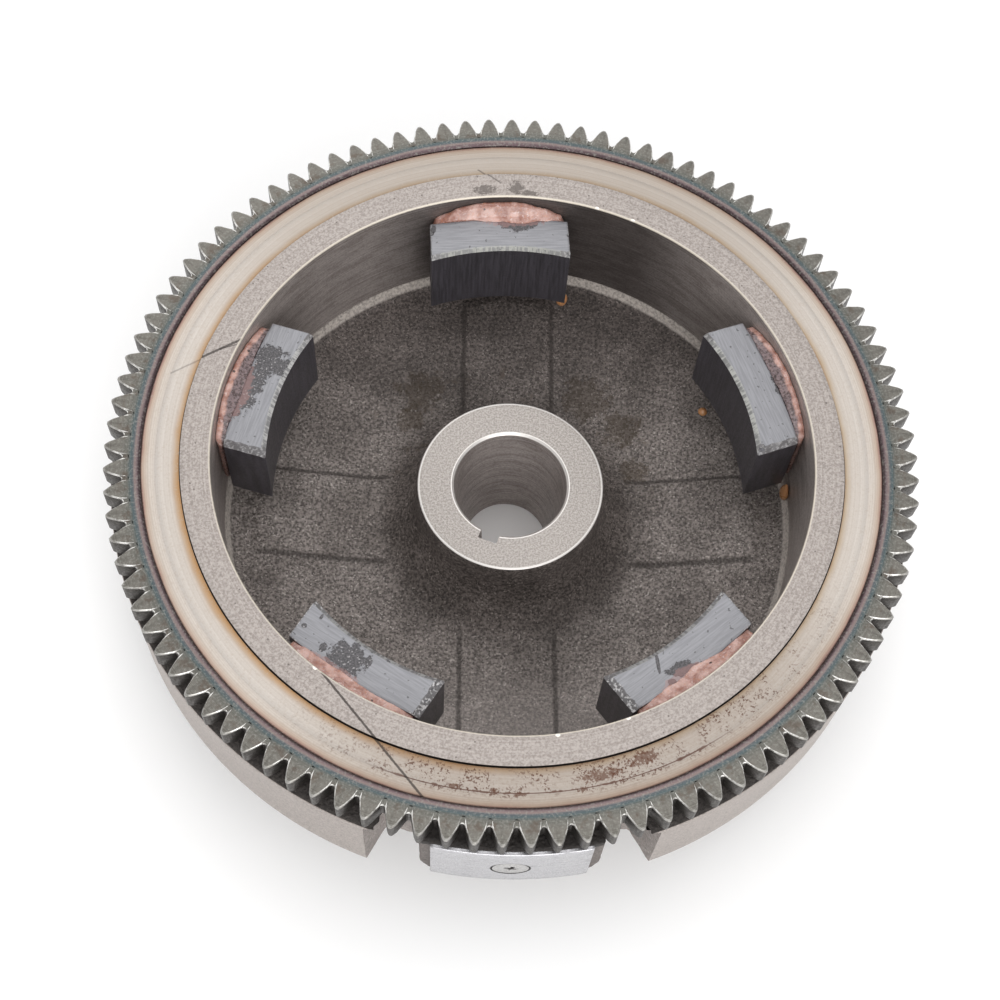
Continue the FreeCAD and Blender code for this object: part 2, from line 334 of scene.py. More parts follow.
def turned_by(piece, degrees):
    """Turns a piece about the axis, its place kept in its mesh."""
    piece.data.transform(Matrix.Rotation(math.radians(degrees), 4, "Z"))


def smooth(low, high, value):
    share = max(0.0, min(1.0, (value - low) / (high - low)))
    return share * share * (3 - 2 * share)


casting = spin_section("iron_wheel", CASTING_SECTION, TURN_STEPS)

ARM_HALF = 11.95
ARM_RAISE = 0.8


def arm_weight(x, y, z):
    """Full on the four raised arms of the web, falling to nothing over a millimetre at their edges."""
    radius = math.hypot(x, y)
    if not 30 < radius < 72 or z < WEB_AT[1] + WEB_RISE * (radius - WEB_AT[0]) - 1.5 or z > 40:
        return 0
    across = min(abs(x), abs(y))
    return (1 - smooth(ARM_HALF - 0.5, ARM_HALF + 0.6, across)) * smooth(33, 37,
        radius) * (1 - smooth(66, 68.5, radius))


weigh(casting, "arms", arm_weight)
use_modifier(casting, "DISPLACE", direction="Z", vertex_group="arms", strength=ARM_RAISE * MM, mid_level=0)


def as_cast_weight(x, y, z):
    """Nothing where a tool has turned the iron, full well inside the rough skin."""
    radius = math.hypot(x, y)
    if radius < 24.6 and z > 1:
        return smooth(HUB_Z - 0.6, HUB_Z - 2.5, z) if radius > 23.8 else 0
    if z > 21.5:
        return smooth(74.4, 73.9, radius) * smooth(24.2, 24.5, radius) if radius < 80 else (
            1.0 if radius < 95.2 and z < 49 else 0)
    if radius > 99:
        return smooth(100.2, 99.6, radius)
    return 1.0 if z > 0.8 or radius > 36.5 else 0.0


weigh(casting, "as_cast", as_cast_weight)
roughen(casting, "as_cast", 14.0, 0.16)
roughen(casting, "as_cast", 2.2, 0.16)
roughen(casting, "as_cast", 1.0, 0.09, 0)

# the pocket in the skirt, cast in with a core: nearly radial ends, open at the bottom
POCKET_FLOOR_R = 91.0
POCKET_TOP_Z = 47.5
POLE = math.radians(270)
pocket_half = math.radians(18.9)
pocket = spin_section("pocket_core", ((POCKET_FLOOR_R, 12.0, 0, 1.5), (108.0, 12.0, 0, 1.5),
    (108.0, POCKET_TOP_Z, 0, 1.5), (POCKET_FLOOR_R, POCKET_TOP_Z, 0, 1.5)), 48, 2 * pocket_half, POLE - pocket_half)
POCKET_FLARE = math.radians(1.05)
for vert in pocket.data.vertices:
    side = (math.atan2(vert.co.y, vert.co.x) - POLE + math.pi) % math.tau - math.pi
    out = (math.hypot(vert.co.x, vert.co.y) / MM - POCKET_FLOOR_R) / (SKIRT_R - POCKET_FLOOR_R)
    vert.co = Matrix.Rotation(POCKET_FLARE * out * side / pocket_half, 3, "Z") @ vert.co
use_modifier(pocket, "TRIANGULATE")
use_modifier(pocket, "REMESH", mode="VOXEL", voxel_size=1.3 * MM)
weigh(pocket, "core", lambda x, y, z: 1.0 if z < POCKET_TOP_Z - 1 else 0.0)
roughen(pocket, "core", 2.5, 0.22)
carve(casting, pocket)

# the seat that holds the pole piece: a cast block with rounded lower corners
SEAT_HALF = 21.4
SEAT_LOW_Z = 24.4
SEAT_TOP_Z = POCKET_TOP_Z + 0.6
SEAT_DEEP = 14.0
SEAT_R = 99.8
SEAT_CORNER_R = 6.0
seat = block("pole_seat", (2 * SEAT_HALF, SEAT_DEEP, SEAT_TOP_Z - SEAT_LOW_Z),
    (0, -(SEAT_R - SEAT_DEEP / 2), (SEAT_TOP_Z + SEAT_LOW_Z) / 2))
pick_edges(seat, lambda a, b: abs(a.y - b.y) > 5 and a.z < SEAT_LOW_Z + 1)
bpy.ops.mesh.bevel(offset=SEAT_CORNER_R * MM, segments=8, affect="EDGES")
close_piece()
use_modifier(seat, "REMESH", mode="VOXEL", voxel_size=0.7 * MM)
for vert in seat.data.vertices:
    depth = (-vert.co.y / MM - (SEAT_R - SEAT_DEEP)) / SEAT_DEEP
    front = math.sqrt(SEAT_R ** 2 - (vert.co.x / MM) ** 2)
    vert.co.y = -((SEAT_R - SEAT_DEEP) + depth * (front - SEAT_R + SEAT_DEEP)) * MM
weigh(seat, "block", lambda x, y, z: 1.0 if z < POCKET_TOP_Z - 0.4 else 0.0)
roughen(seat, "block", 2.4, 0.2)
roughen(seat, "block", 1.0, 0.08, 0)
carve(casting, seat, "UNION")


def cutting_bar(name, size, place, turn=0.0):
    """A broached or milled cut: a bar of the cutter's size at its place, turned about the axis."""
    bar = block(name, size, place)
    close_piece()
    turned_by(bar, turn)
    return bar


SHOE_HALF = 18.85
SLOT_FLOOR = 91.6
carve(casting, cutting_bar("slot_cutter", (2 * SHOE_HALF, 20.0, 40.0), (0, -SLOT_FLOOR - 10.0, POCKET_TOP_Z - 20.0)))
KEY_ANGLE = 249.6
carve(casting, cutting_bar("key_broach", (17.2, 5.0, 50.0), (8.6, 0, 20.0), KEY_ANGLE))
FAN_HOLE_R = 4.0
for k in range(4):
    drill = start_piece("fan_drill", "cylinder", vertices=48, radius=FAN_HOLE_R * MM, depth=20 * MM)
    bpy.ops.transform.translate(value=(29.0 * MM, 0, -2.0 * MM))
    pick(drill, "faces", lambda face: face.normal.z > 0.9)
    bpy.ops.mesh.extrude_region_move(TRANSFORM_OT_translate={"value": (0, 0, 1.6 * MM)})
    bpy.ops.mesh.merge(type="CENTER")
    close_piece()
    turned_by(drill, 45 + 90 * k)
    carve(casting, drill)
SCREW_Z = 35.4
screw_hole = start_piece("screw_hole", "cylinder", vertices=48, radius=2.5 * MM, depth=20 * MM,
    rotation=(math.pi / 2, 0, 0), location=(0, -94.6 * MM, SCREW_Z * MM))
close_piece()
carve(casting, screw_hole)


SIGNS = {"+": "ADD", "-": "SUBTRACT", "*": "MULTIPLY", "/": "DIVIDE", "**": "POWER",
         ">": "GREATER_THAN", "abs": "ABSOLUTE",
         "max": "MAXIMUM", "min": "MINIMUM", "mod": "FLOORED_MODULO", "atan2": "ARCTAN2", "cos": "COSINE"}


def maths(operation, first, second=0.0):
    """A sum of two sockets or numbers, by its sign or its short name."""
    return add("Math", operation=SIGNS[operation], _0=first, _1=second).outputs[0]


def where():
    """Sockets for the point's place in millimetres, its radius from the axis, its angle in degrees, its height."""
    place = add("VectorMath", operation="SCALE", _0=add("TexCoord").outputs["Object"], Scale=1000.0).outputs[0]
    split = add("SeparateXYZ", _0=place)
    flat = add("CombineXYZ", X=split.outputs[0], Y=split.outputs[1])
    radius = add("VectorMath", operation="LENGTH", _0=flat.outputs[0]).outputs["Value"]
    degrees = maths("*", maths("atan2", split.outputs[1], split.outputs[0]), 180 / math.pi)
    return place, radius, maths("mod", degrees, 360.0), split.outputs[2]


def grade(value, low, high, new_low=0.0, new_high=1.0):
    """The value stretched from one range to another, smoothly and held at its ends."""
    return add("MapRange", interpolation_type="SMOOTHSTEP", _0=value, _1=low, _2=high, _3=new_low,
        _4=new_high).outputs[0]


def near(value, middle, half, soft):
    """One within half of the middle, falling to nothing over the soft distance."""
    return grade(maths("abs", maths("-", value, middle)), half, half + soft, 1.0, 0.0)


def facing(around, angle):
    """One at an angle round the wheel, minus one on the far side."""
    return maths("cos", maths("*", maths("-", around, angle), math.pi / 180))


def blend(share, first, second, kind="MIX"):
    return add("Mix", data_type="RGBA", blend_type=kind, _0=share, _6=first, _7=second).outputs[2]


def grains(place, size, detail=2.0, rough=0.5, stretch=None):
    """Noise whose lumps are about this many millimetres across."""
    if stretch:
        place = add("VectorMath", operation="MULTIPLY", _0=place, _1=stretch).outputs[0]
    return add("TexNoise", Vector=place, Scale=1.0 / size, Detail=detail, Roughness=rough).outputs["Fac"]


def tool_rings(along, per_mm, detail=3.0, rough=0.7):
    """Noise along one measure only: the rings that a lathe tool leaves."""
    return add("TexNoise", noise_dimensions="1D", W=maths("*", along, per_mm), Scale=1.0, Detail=detail,
        Roughness=rough).outputs["Fac"]


def spot(place, radius, around, at, half, grain, ragged):
    """One inside a rough-edged oval at this angle and radius, nothing outside it."""
    off_angle = maths("/", maths("-", around, at[0]), half[0])
    off_radius = maths("/", maths("-", radius, at[1]), half[1])
    spread = maths("+", maths("*", off_angle, off_angle), maths("*", off_radius, off_radius))
    noise_here = maths("*", maths("-", grains(place, grain, 4.0, 0.7), 0.5), 5 * ragged)
    return grade(maths("+", spread, noise_here), 0.55, 1.1, 1.0, 0.0)


def finish_with(colour, metal, rough, height, distance, strength):
    """Joins the colour, how metallic it is, the roughness and a bump of this many millimetres to the shader."""
    shader.inputs["Metallic"].default_value = metal
    tree.links.new(colour, shader.inputs["Base Color"])
    tree.links.new(rough, shader.inputs["Roughness"])
    bump = add("Bump", Strength=strength, Distance=distance * MM, Height=height)
    tree.links.new(bump.outputs[0], shader.inputs["Normal"])


# Grey iron as cast and shot blasted: a dull brownish grey skin of dark and light specks a millimetre or less
# across, lumpy to the eye, with a few olive rust marks round the hub.
cast_skin = blank_material("grey_iron_as_cast")
place, radius, around, height = where()
fine = grains(place, 0.75, 3.0, 0.6)
speck = add("TexVoronoi", Vector=place, Scale=1 / 0.9, feature="F1").outputs["Distance"]
broad = grains(place, 16.0, 3.0, 0.55)
colour = blend(grade(fine, 0.34, 0.66), "#5E5753", "#A69D98")
colour = blend(grade(speck, 0.10, 0.36, 0.8, 0.0), colour, "#35302D")
colour = blend(grade(grains(place, 0.6, 0.0), 0.68, 0.78, 0.0, 0.75), colour, "#CFC6C0")
colour = blend(grade(broad, 0.35, 0.65, 0.0, 0.4), colour, "#6E655F", "MULTIPLY")
stain = maths("*", grade(grains(place, 6.0, 4.0, 0.7), 0.56, 0.70), near(radius, 36.0, 8.0, 8.0))
top_side = grade(facing(around, 90.0), 0.0, 0.6)
stain = maths("*", stain, top_side)
colour = blend(maths("*", stain, 0.55), colour, "#4B3A22")
for at_angle, at_r, half_angle, half_r in ((121.6, 46.0, 9.0, 6.0), (131.0, 41.0, 5.0, 4.0), (60.0, 44.0, 9.0, 7.0),
                                           (42.0, 42.5, 7.0, 6.0), (24.0, 38.5, 6.0, 4.0)):
    blotch = spot(place, radius, around, (at_angle, at_r), (half_angle, half_r), 2.6, 0.9)
    colour = blend(maths("*", blotch, 0.45), colour, "#453620")
# painted shade: the web darkens towards the back wall; painted light makes it paler towards the front
towards_back = add("SeparateXYZ", _0=place).outputs[1]
colour = blend(grade(towards_back, 5.0, 65.0, 0.0, 0.85), colour, "#A19B9A", "MULTIPLY")
colour = blend(grade(towards_back, -35.0, -68.0, 0.0, 0.3), colour, "#B5ADA9")
# painted shade in a ring round the foot of the hub
hub_shade = maths("*", near(radius, 27.0, 3.0, 11.0), maths(">", height, 6.0))
colour = blend(maths("*", hub_shade, 0.6), colour, "#8A817D", "MULTIPLY")
# painted shade, with oily dirt, on the shoulder under the gear teeth
shade_and_oil_under_teeth = maths("*", grade(radius, 94.0, 95.0), near(height, 48.2, 1.9, 0.6))
colour = blend(maths("*", shade_and_oil_under_teeth, 0.8), colour, "#3E3936", "MULTIPLY")
# painted shade inside the pocket beside the pole shoe
pocket_shade = maths("*", near(around, 270.0, 15.5, 0.6), grade(radius, 92.0, 93.0))
colour = blend(maths("*", pocket_shade, 0.6), colour, "#6A6461", "MULTIPLY")
# the foot of the wall, left pale by the nose of the boring tool, with a painted highlight along the fillet
pale_foot_and_highlight = maths("*", near(radius, 74.4, 0.35, 0.5), near(height, 21.3, 1.8, 0.8))
colour = blend(maths("*", pale_foot_and_highlight, grade(fine, 0.3, 0.65, 0.45, 0.9)), colour, "#CFC6BE")
# painted shade in the creases along both edges of the raised arms
split = add("SeparateXYZ", _0=place)
across = maths("min", maths("abs", split.outputs[0]), maths("abs", split.outputs[1]))
ragged = maths("+", across, maths("*", grains(place, 3.0, 2.0, 0.6), 0.9))
crease_shade = maths("*", near(ragged, ARM_HALF + 0.95, 0.25, 0.75), near(radius, 51.0, 14.0, 5.0))
crease_shade = maths("*", crease_shade, maths(">", height, 9.0))
colour = blend(maths("*", crease_shade, 0.6), colour, "#2E2825")
lumps = maths("+", maths("*", grains(place, 1.4, 2.0, 0.6), 1.3), fine)
finish_with(colour, 0.2, grade(fine, 0.3, 0.7, 0.6, 0.85), lumps, 0.42, 0.75)

# handling scratches across the rim and the band: both ends as radius and angle, width and darkness
SCRATCHES = (((75.3, 233.6), (93.4, 258.1), 0.36, 0.8), ((75.1, 157.4), (82.3, 163.5), 0.42, 0.75),
             ((75.6, 158.9), (79.0, 160.9), 0.22, 0.6), ((82.3, 163.5), (88.5, 167.6), 0.3, 0.35),
             ((79.5, 92.6), (84.5, 96.5), 0.3, 0.5))


def scratches(place, colour):
    """Draws each scratch as a fine dark line with ragged edges, straight across the face."""
    split = add("SeparateXYZ", _0=place)
    ragged = maths("*", grains(place, 0.7, 2.0, 0.6), 0.3)
    for (r_1, a_1), (r_2, a_2), width, dark in SCRATCHES:
        start = Vector((math.cos(math.radians(a_1)), math.sin(math.radians(a_1)))) * r_1
        end = Vector((math.cos(math.radians(a_2)), math.sin(math.radians(a_2)))) * r_2
        along = (end - start).normalized()
        dx = maths("-", split.outputs[0], start.x)
        dy = maths("-", split.outputs[1], start.y)
        run = maths("+", maths("*", dx, along.x), maths("*", dy, along.y))
        off = maths("abs", maths("-", maths("*", dx, along.y), maths("*", dy, along.x)))
        line = grade(maths("+", off, ragged), 0.15 + width / 2, 0.15 + width, dark, 0.0)
        inside = near(run, (end - start).length / 2, (end - start).length / 2, 0.4)
        colour = blend(maths("*", line, inside), colour, "#2C2522")
    return colour


# Grey iron turned to a fine finish on the rim face and the skirt: pale warm grey, open graphite grain like
# salt and pepper, and faint tool rings that can just be seen.
turned_iron = blank_material("grey_iron_turned")
place, radius, around, height = where()
grain = grains(place, 0.55, 3.0, 0.65)
rings = add("TexNoise", noise_dimensions="2D", Scale=1.0, Detail=2.0, Vector=add("CombineXYZ",
    X=maths("*", radius, 3.2), Y=maths("*", height, 3.2)).outputs[0]).outputs["Fac"]
colour = blend(grade(grain, 0.34, 0.66), "#968E89", "#BDB5B0")
colour = blend(grade(rings, 0.3, 0.7, 0.0, 0.25), colour, "#B9AFA9", "MULTIPLY")
pits = grade(add("TexVoronoi", Vector=place, Scale=1 / 2.6).outputs["Distance"], 0.05, 0.12, 0.8, 0.0)
colour = blend(pits, colour, "#5E5652")
# two oily smudges at the back of the rim face
for at, half in (((95.7, 77.3), (2.3, 1.7)), ((89.5, 77.9), (1.5, 2.2)), ((87.0, 76.3), (2.2, 1.0))):
    smear = maths("*", spot(place, radius, around, at, half, 1.2, 0.9), maths(">", height, TOP - 0.6))
    colour = blend(maths("*", smear, 0.7), colour, "#57504C")
colour = scratches(place, colour)
# fettled corners catch the light
edge_light = maths("*", near(radius, BOWL_R, 0.25, 0.3), maths(">", height, TOP - 0.6))
colour = blend(maths("*", edge_light, 0.7), colour, "#EFE6D6")
for at in ((277.6, 75.5), (65.1, 75.2), (72.8, 75.2), (290.5, 75.3), (232.0, 75.3)):
    chip = spot(place, radius, around, at, (0.5, 0.5), 0.6, 0.3)
    colour = blend(chip, colour, "#F6F0E8")
finish_with(colour, 0.7, grade(grain, 0.3, 0.7, 0.42, 0.6), maths("+", grain, maths("*", rings, 0.8)), 0.05, 0.7)

# The band inside the ring gear: turned iron tinted by the heat that shrank the gear on, straw in the middle and
# brown at both edges, with a fine dark groove and freckles of rust along the front.
tinted_iron = blank_material("grey_iron_heat_tinted")
place, radius, around, height = where()
wobble = maths("*", maths("-", grains(place, 22.0, 3.0, 0.6), 0.5), 2.2)
drifted = maths("+", radius, wobble)
share = add("MapRange", _0=drifted, _1=STEP_R, _2=GEAR_BORE_R, _3=0.0, _4=1.0).outputs[0]
tint = add("ValToRGB", _0=share, stops=( (0.0, "#A58565"), (0.08, "#B7A58F"), (0.20, "#C4BBB2"), (0.58, "#CAC3BC"),
    (0.80, "#C5BBB1"), (0.92, "#BBA797"), (0.97, "#A98A7E"), (1.0, "#80655F")))
colour = tint.outputs[0]
left_side = grade(facing(around, 200.0), 0.1, 0.9, 0.0, 0.8)
colour = blend(maths("*", left_side, grade(share, 0.3, 0.0)), colour, "#B08555")
# painted shade darkening the back of the band
back_shade = grade(facing(around, 90.0), 0.3, 1.0)
colour = blend(maths("*", back_shade, 0.8), colour, "#DAD6D2", "MULTIPLY")
lines = tool_rings(radius, 2.6)
colour = blend(grade(lines, 0.35, 0.7, 0.0, 0.25), colour, "#BDB0A4", "MULTIPLY")
grain = grains(place, 0.5, 2.0, 0.6)
colour = blend(grade(grain, 0.5, 0.75, 0.0, 0.5), colour, "#B9AB9E")
# painted shade darkening the front of the band; the same mask keeps the rust freckles to the front
front_shade_and_rust = grade(facing(around, 284.0), 0.55, 0.95)
colour = blend(maths("*", front_shade_and_rust, 0.75), colour, "#CFC9C4", "MULTIPLY")
freckle = grade(grains(place, 0.6, 3.0, 0.65), 0.53, 0.60)
cloud = maths("*", grade(grains(place, 6.0, 3.0, 0.6), 0.40, 0.55), near(radius, 86.2, 2.4, 2.0))
rust = maths("*", maths("*", freckle, cloud), front_shade_and_rust)
colour = blend(maths("*", rust, 0.9), colour, "#54301F")
for at, half in (((290.4, 85.1), (2.6, 1.5)), ((283.1, 86.2), (3.2, 1.4)), ((267.1, 88.1), (0.7, 0.7)),
                 ((270.8, 88.7), (0.9, 0.6)), ((280.1, 88.7), (0.8, 0.7)), ((260.9, 88.2), (0.9, 0.6))):
    rusted = spot(place, radius, around, at, half, 0.7, 1.7)
    colour = blend(maths("*", rusted, 0.75), colour, "#58331F")
groove_patch = grade(grains(place, 5.0, 3.0, 0.7), 0.5, 0.66)
groove_wide = maths("+", maths("*", groove_patch, 0.28), 0.13)
off_groove = maths("abs", maths("-", radius, SEAM_R))
groove = maths("*", grade(maths("/", off_groove, groove_wide), 0.5, 1.3, 1.0, 0.0), near(around, 276.0, 22.0, 8.0))
colour = blend(maths("*", groove, 0.85), colour, "#5A3A2E")
colour = scratches(place, colour)
# painted shadow in the undercut groove at the foot of the step
undercut_shadow = grade(radius, STEP_R + 0.3, STEP_R + 0.2)
colour = blend(undercut_shadow, colour, "#17110E")
finish_with(colour, 0.5, grade(grain, 0.3, 0.7, 0.42, 0.56), maths("+", maths("*", lines, 1.4), grain), 0.035, 0.7)

# The bowl's wall and the bore: bored iron, smoother and darker, with fine rings from the boring bar.
bored_iron = blank_material("grey_iron_bored")
place, radius, around, height = where()
rings = tool_rings(height, 2.2, 4.0)
grain = grains(place, 0.6, 3.0, 0.6)
streak = grains(place, 9.0, 3.0, 0.6, (1, 1, 4))
colour = blend(grade(rings, 0.3, 0.7), "#A09793", "#C6BDB9")
colour = blend(grade(grain, 0.4, 0.7, 0.0, 0.4), colour, "#7B726E")
colour = blend(grade(streak, 0.4, 0.65, 0.0, 0.35), colour, "#8F857E", "MULTIPLY")
# painted shade, with an oily look, on the wall near the back magnet
oily_shade = maths("*", near(around, 82.0, 16.0, 26.0), maths(">", radius, 60.0))
colour = blend(maths("*", oily_shade, 0.75), colour, "#3A2F2E", "MULTIPLY")
finish_with(colour, 0.5, grade(grain, 0.3, 0.7, 0.32, 0.46), maths("+", maths("*", rings, 1.5), grain), 0.05, 0.6)

# The hub's face: faced iron, the brightest turned surface, with close rings from the facing tool.
faced_iron = blank_material("grey_iron_faced")
place, radius, around, height = where()
rings = tool_rings(radius, 3.0)
grain = grains(place, 0.5, 3.0, 0.6)
colour = blend(grade(grain, 0.35, 0.65), "#918B87", "#B6B0AB")
colour = blend(grade(rings, 0.35, 0.7, 0.0, 0.3), colour, "#C0B8B2", "MULTIPLY")
rim_light = maths("max", near(radius, 24.0, 0.22, 0.3), near(radius, 15.1, 0.25, 0.25))
colour = blend(maths("*", rim_light, 0.8), colour, "#F2EEEA")
finish_with(colour, 0.8, grade(grain, 0.3, 0.7, 0.34, 0.48), maths("+", maths("*", rings, 1.3), grain), 0.04, 0.7)


def dress(piece, rules):
    """Gives each face the first material whose rule holds at the face's middle, in millimetres."""
    piece.data.materials.clear()
    for material, _ in rules:
        piece.data.materials.append(material)
    for face in piece.data.polygons:
        x, y, z = face.center / MM
        normal = face.normal
        out = (x * normal.x + y * normal.y) / max(1e-6, math.hypot(x, y))
        for index, (_, rule) in enumerate(rules):
            if rule(math.hypot(x, y), z, out, normal.z):
                face.material_index = index
                break


dress(casting, ((faced_iron, lambda r, z, out, up: r < 24.4 and z > HUB_Z - 0.7 and up > 0.3),
    (bored_iron, lambda r, z, out, up: r < 17.4 and 0.2 < z < HUB_Z and out < 0.3),
    (bored_iron, lambda r, z, out, up: 74.3 < r < 75.3 and 21.6 < z < TOP - 0.5),
    (turned_iron, lambda r, z, out, up: 74.3 < r < STEP_R + 0.02 and z > TOP - 0.6 and (up > 0.3 or r < 80)),
    (tinted_iron, lambda r, z, out, up: STEP_R - 0.1 < r < 92.2 and z > 49.0),
    (turned_iron, lambda r, z, out, up: r > 100.2 and out > 0.5), (turned_iron, lambda r, z, out,
    up: r < 36.4 and z < 0.7 and up < -0.5), (cast_skin, lambda r, z, out, up: True)))


MEET = 0.002


def finish_piece(piece, slot, *nodes, smooth_to=35):
    """Merges points that meet, smooths the faces up to an angle, hangs the piece on the root body and hides the
    parts that it stands for. The slot is not used."""
    take(piece)
    piece.vertex_groups.clear()
    bpy.ops.object.mode_set(mode="EDIT")
    bpy.context.tool_settings.mesh_select_mode = (True, False, False)
    bpy.ops.mesh.select_all(action="SELECT")
    bpy.ops.mesh.remove_doubles(threshold=MEET * MM)
    bpy.ops.mesh.dissolve_degenerate(threshold=MEET * MM)
    bpy.ops.mesh.select_all(action="SELECT")
    bpy.ops.mesh.delete_loose()
    bpy.ops.object.mode_set(mode="OBJECT")
    bpy.ops.object.shade_smooth_by_angle(angle=math.radians(smooth_to))
    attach(piece, "root")
    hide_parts(*nodes)


finish_piece(casting, "grey_iron", "flywheel_casting")


# The ring gear. A rolled and welded steel ring with 99 hobbed teeth, hardened at the teeth, heated and shrunk on
# to its seat. The starter's pinion meets it. One tooth and its share of the ring is made, then copied round.
TEETH = 99
TOOTH_PITCH = 360 / TEETH
FIRST_TOOTH = 268.5
PITCH_R = 99.0
PRESSURE = math.radians(25)
GEAR_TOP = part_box("ring_gear")[1].z / MM
GEAR_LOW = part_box("ring_gear")[0].z / MM
GEAR_CHAMFER = 0.5


def flank_angle(radius):
    """Half the angle that a tooth fills at a radius, by its involute."""
    local = math.acos(PITCH_R * math.cos(PRESSURE) / radius)
    half = math.pi / (2 * TEETH) + math.tan(PRESSURE) - PRESSURE - math.tan(local) + local
    return math.degrees(half)


# angle from the tooth's middle and radius, from the tip's middle down one flank to the middle of the gap
half_tooth = [(0.0, 101.0), (flank_angle(101.0) * 0.5, 101.0), (flank_angle(100.6) * 0.84, 100.6)]
half_tooth += [(flank_angle(r), r) for r in (100.0, 99.0, 98.0, 97.2)]
half_tooth += [(flank_angle(96.85) + 0.03, 96.75), (1.66, 96.5), (TOOTH_PITCH / 2, 96.45)]
outline = [(-a, r) for a, r in reversed(half_tooth[1:])] + half_tooth
rows = ((GEAR_BORE_R, -GEAR_CHAMFER), (GEAR_BORE_R + GEAR_CHAMFER, 0), (94.9, 0), (None, 0))

gear = start_piece("toothed_ring", "grid", x_subdivisions=len(outline) - 1, y_subdivisions=len(rows) - 1, size=2)
mesh = bmesh.from_edit_mesh(gear.data)
for vert in mesh.verts:
    column = round((vert.co.x + 1) / 2 * (len(outline) - 1))
    inner, drop = rows[round((vert.co.y + 1) / 2 * (len(rows) - 1))]
    angle, radius = outline[column]
    if inner is not None:
        angle = TOOTH_PITCH * (column / (len(outline) - 1) - 0.5)
        radius = inner
    turn = math.radians(FIRST_TOOTH + angle)
    vert.co = Vector((radius * math.cos(turn), radius * math.sin(turn), GEAR_TOP + drop)) * MM
bpy.ops.mesh.select_all(action="SELECT")
bpy.ops.mesh.extrude_region_move(TRANSFORM_OT_translate={"value": (0, 0, -1.0 * MM)})
for vert in mesh.verts:
    if vert.select:
        vert.co.z = GEAR_LOW * MM
bpy.ops.mesh.select_all(action="SELECT")
bpy.ops.mesh.normals_make_consistent(inside=False)
middle_turn = math.radians(FIRST_TOOTH)
for end in (-1, 1):
    cut_turn = middle_turn + end * math.radians(TOOTH_PITCH / 2)
    plane = Vector((-math.sin(cut_turn), math.cos(cut_turn), 0))
    pick(gear, "faces", lambda face: all(abs(v.co.dot(plane)) < 0.002 * MM for v in face.verts))
    bpy.ops.mesh.delete(type="FACE")
pick_edges(gear, lambda a, b: abs(a.z - b.z) < 0.01 and min(a.xy.length, b.xy.length) > 96.2)
bpy.ops.mesh.bevel(offset=0.45 * MM, segments=2, affect="EDGES", profile=0.4)
ROOT_LEAD = 1.2      # the chamfer runs further in at the bottom of each gap
mesh = bmesh.from_edit_mesh(gear.data)
for vert in mesh.verts:
    radius = vert.co.xy.length / MM
    off_middle = abs(math.degrees(math.atan2(vert.co.y, vert.co.x)) % 360 - FIRST_TOOTH)
    if abs(vert.co.z / MM - GEAR_TOP) < 0.05 and 95.2 < radius < 96.7 and off_middle > 1.1:
        vert.co.xy *= (radius - ROOT_LEAD * smooth(1.1, 1.6, off_middle)) / radius
bmesh.update_edit_mesh(gear.data)
bpy.ops.mesh.select_all(action="SELECT")
bpy.ops.mesh.spin(steps=TEETH - 1, angle=math.tau * (TEETH - 1) / TEETH, center=(0, 0, 0), axis=(0, 0, 1), dupli=True)
close_piece(0.00002)
weigh(gear, "teeth", lambda x, y, z: smooth(96.6, 98.0, math.hypot(x, y)))
roughen(gear, "teeth", 2.4, 0.07)

# Medium-carbon steel, turned on its face, blued by the heat next to the iron and dulled by oil: greenish grey,
# teal then purple at its inner edge, brown smudges between the teeth, a painted highlight on the bevels and
# painted shade on the tooth flanks.
gear_steel = blank_material("carbon_steel_turned_and_blued")
place, radius, around, height = where()
wobble = maths("*", maths("-", grains(place, 14.0, 3.0, 0.6), 0.5), 0.6)
share = add("MapRange", _0=maths("+", radius, wobble), _1=92.0, _2=97.0).outputs[0]
tint = add("ValToRGB", _0=share, stops=( (0.0, "#4A3D3E"), (0.08, "#55474B"), (0.16, "#776769"), (0.26, "#8C7C79"),
    (0.33, "#62666A"), (0.44, "#536063"), (0.62, "#6B6B66"), (1.0, "#78756F")))
lines = tool_rings(radius, 3.6)
grain = grains(place, 0.6, 3.0, 0.6)
colour = blend(grade(lines, 0.3, 0.7, 0.0, 0.4), tint.outputs[0], "#9A958E", "MULTIPLY")
colour = blend(grade(grain, 0.45, 0.75, 0.0, 0.45), colour, "#A5A49D")
smudge = maths("*", grade(grains(place, 3.2, 3.0, 0.65), 0.5, 0.66), near(radius, 96.4, 0.9, 1.2))
colour = blend(maths("*", smudge, 0.6), colour, "#584B42")
sloped = add("SeparateXYZ", _0=add("NewGeometry").outputs["True Normal"]).outputs[2]
past_root = grade(radius, 94.9, 95.1)
# painted highlight on the bevels along the tops of the teeth
bevel_highlight = maths("*", near(sloped, 0.62, 0.3, 0.06), past_root)
bevel_highlight = maths("*", bevel_highlight, grade(radius, 100.2, 97.2, 0.3, 1.0))
colour = blend(maths("*", bevel_highlight, grade(grains(place, 1.3, 3.0, 0.6), 0.35, 0.6, 0.25, 1.0)), colour, "#EFEDE9")
# painted shade on the steep flanks of the teeth, down in the gaps
flank = maths("*", grade(sloped, 0.28, 0.12), past_root)
colour = blend(maths("*", flank, grade(grain, 0.3, 0.7, 0.55, 0.95)), colour, "#332E2C")
finish_with(colour, 0.85, maths("-", grade(grain, 0.3, 0.7, 0.34, 0.48), maths("*", bevel_highlight, 0.12)),
    maths("+", maths("*", lines, 1.2), grain), 0.05, 0.7)
gear.data.materials.append(gear_steel)
finish_piece(gear, "gear_steel", "ring_gear", smooth_to=25)


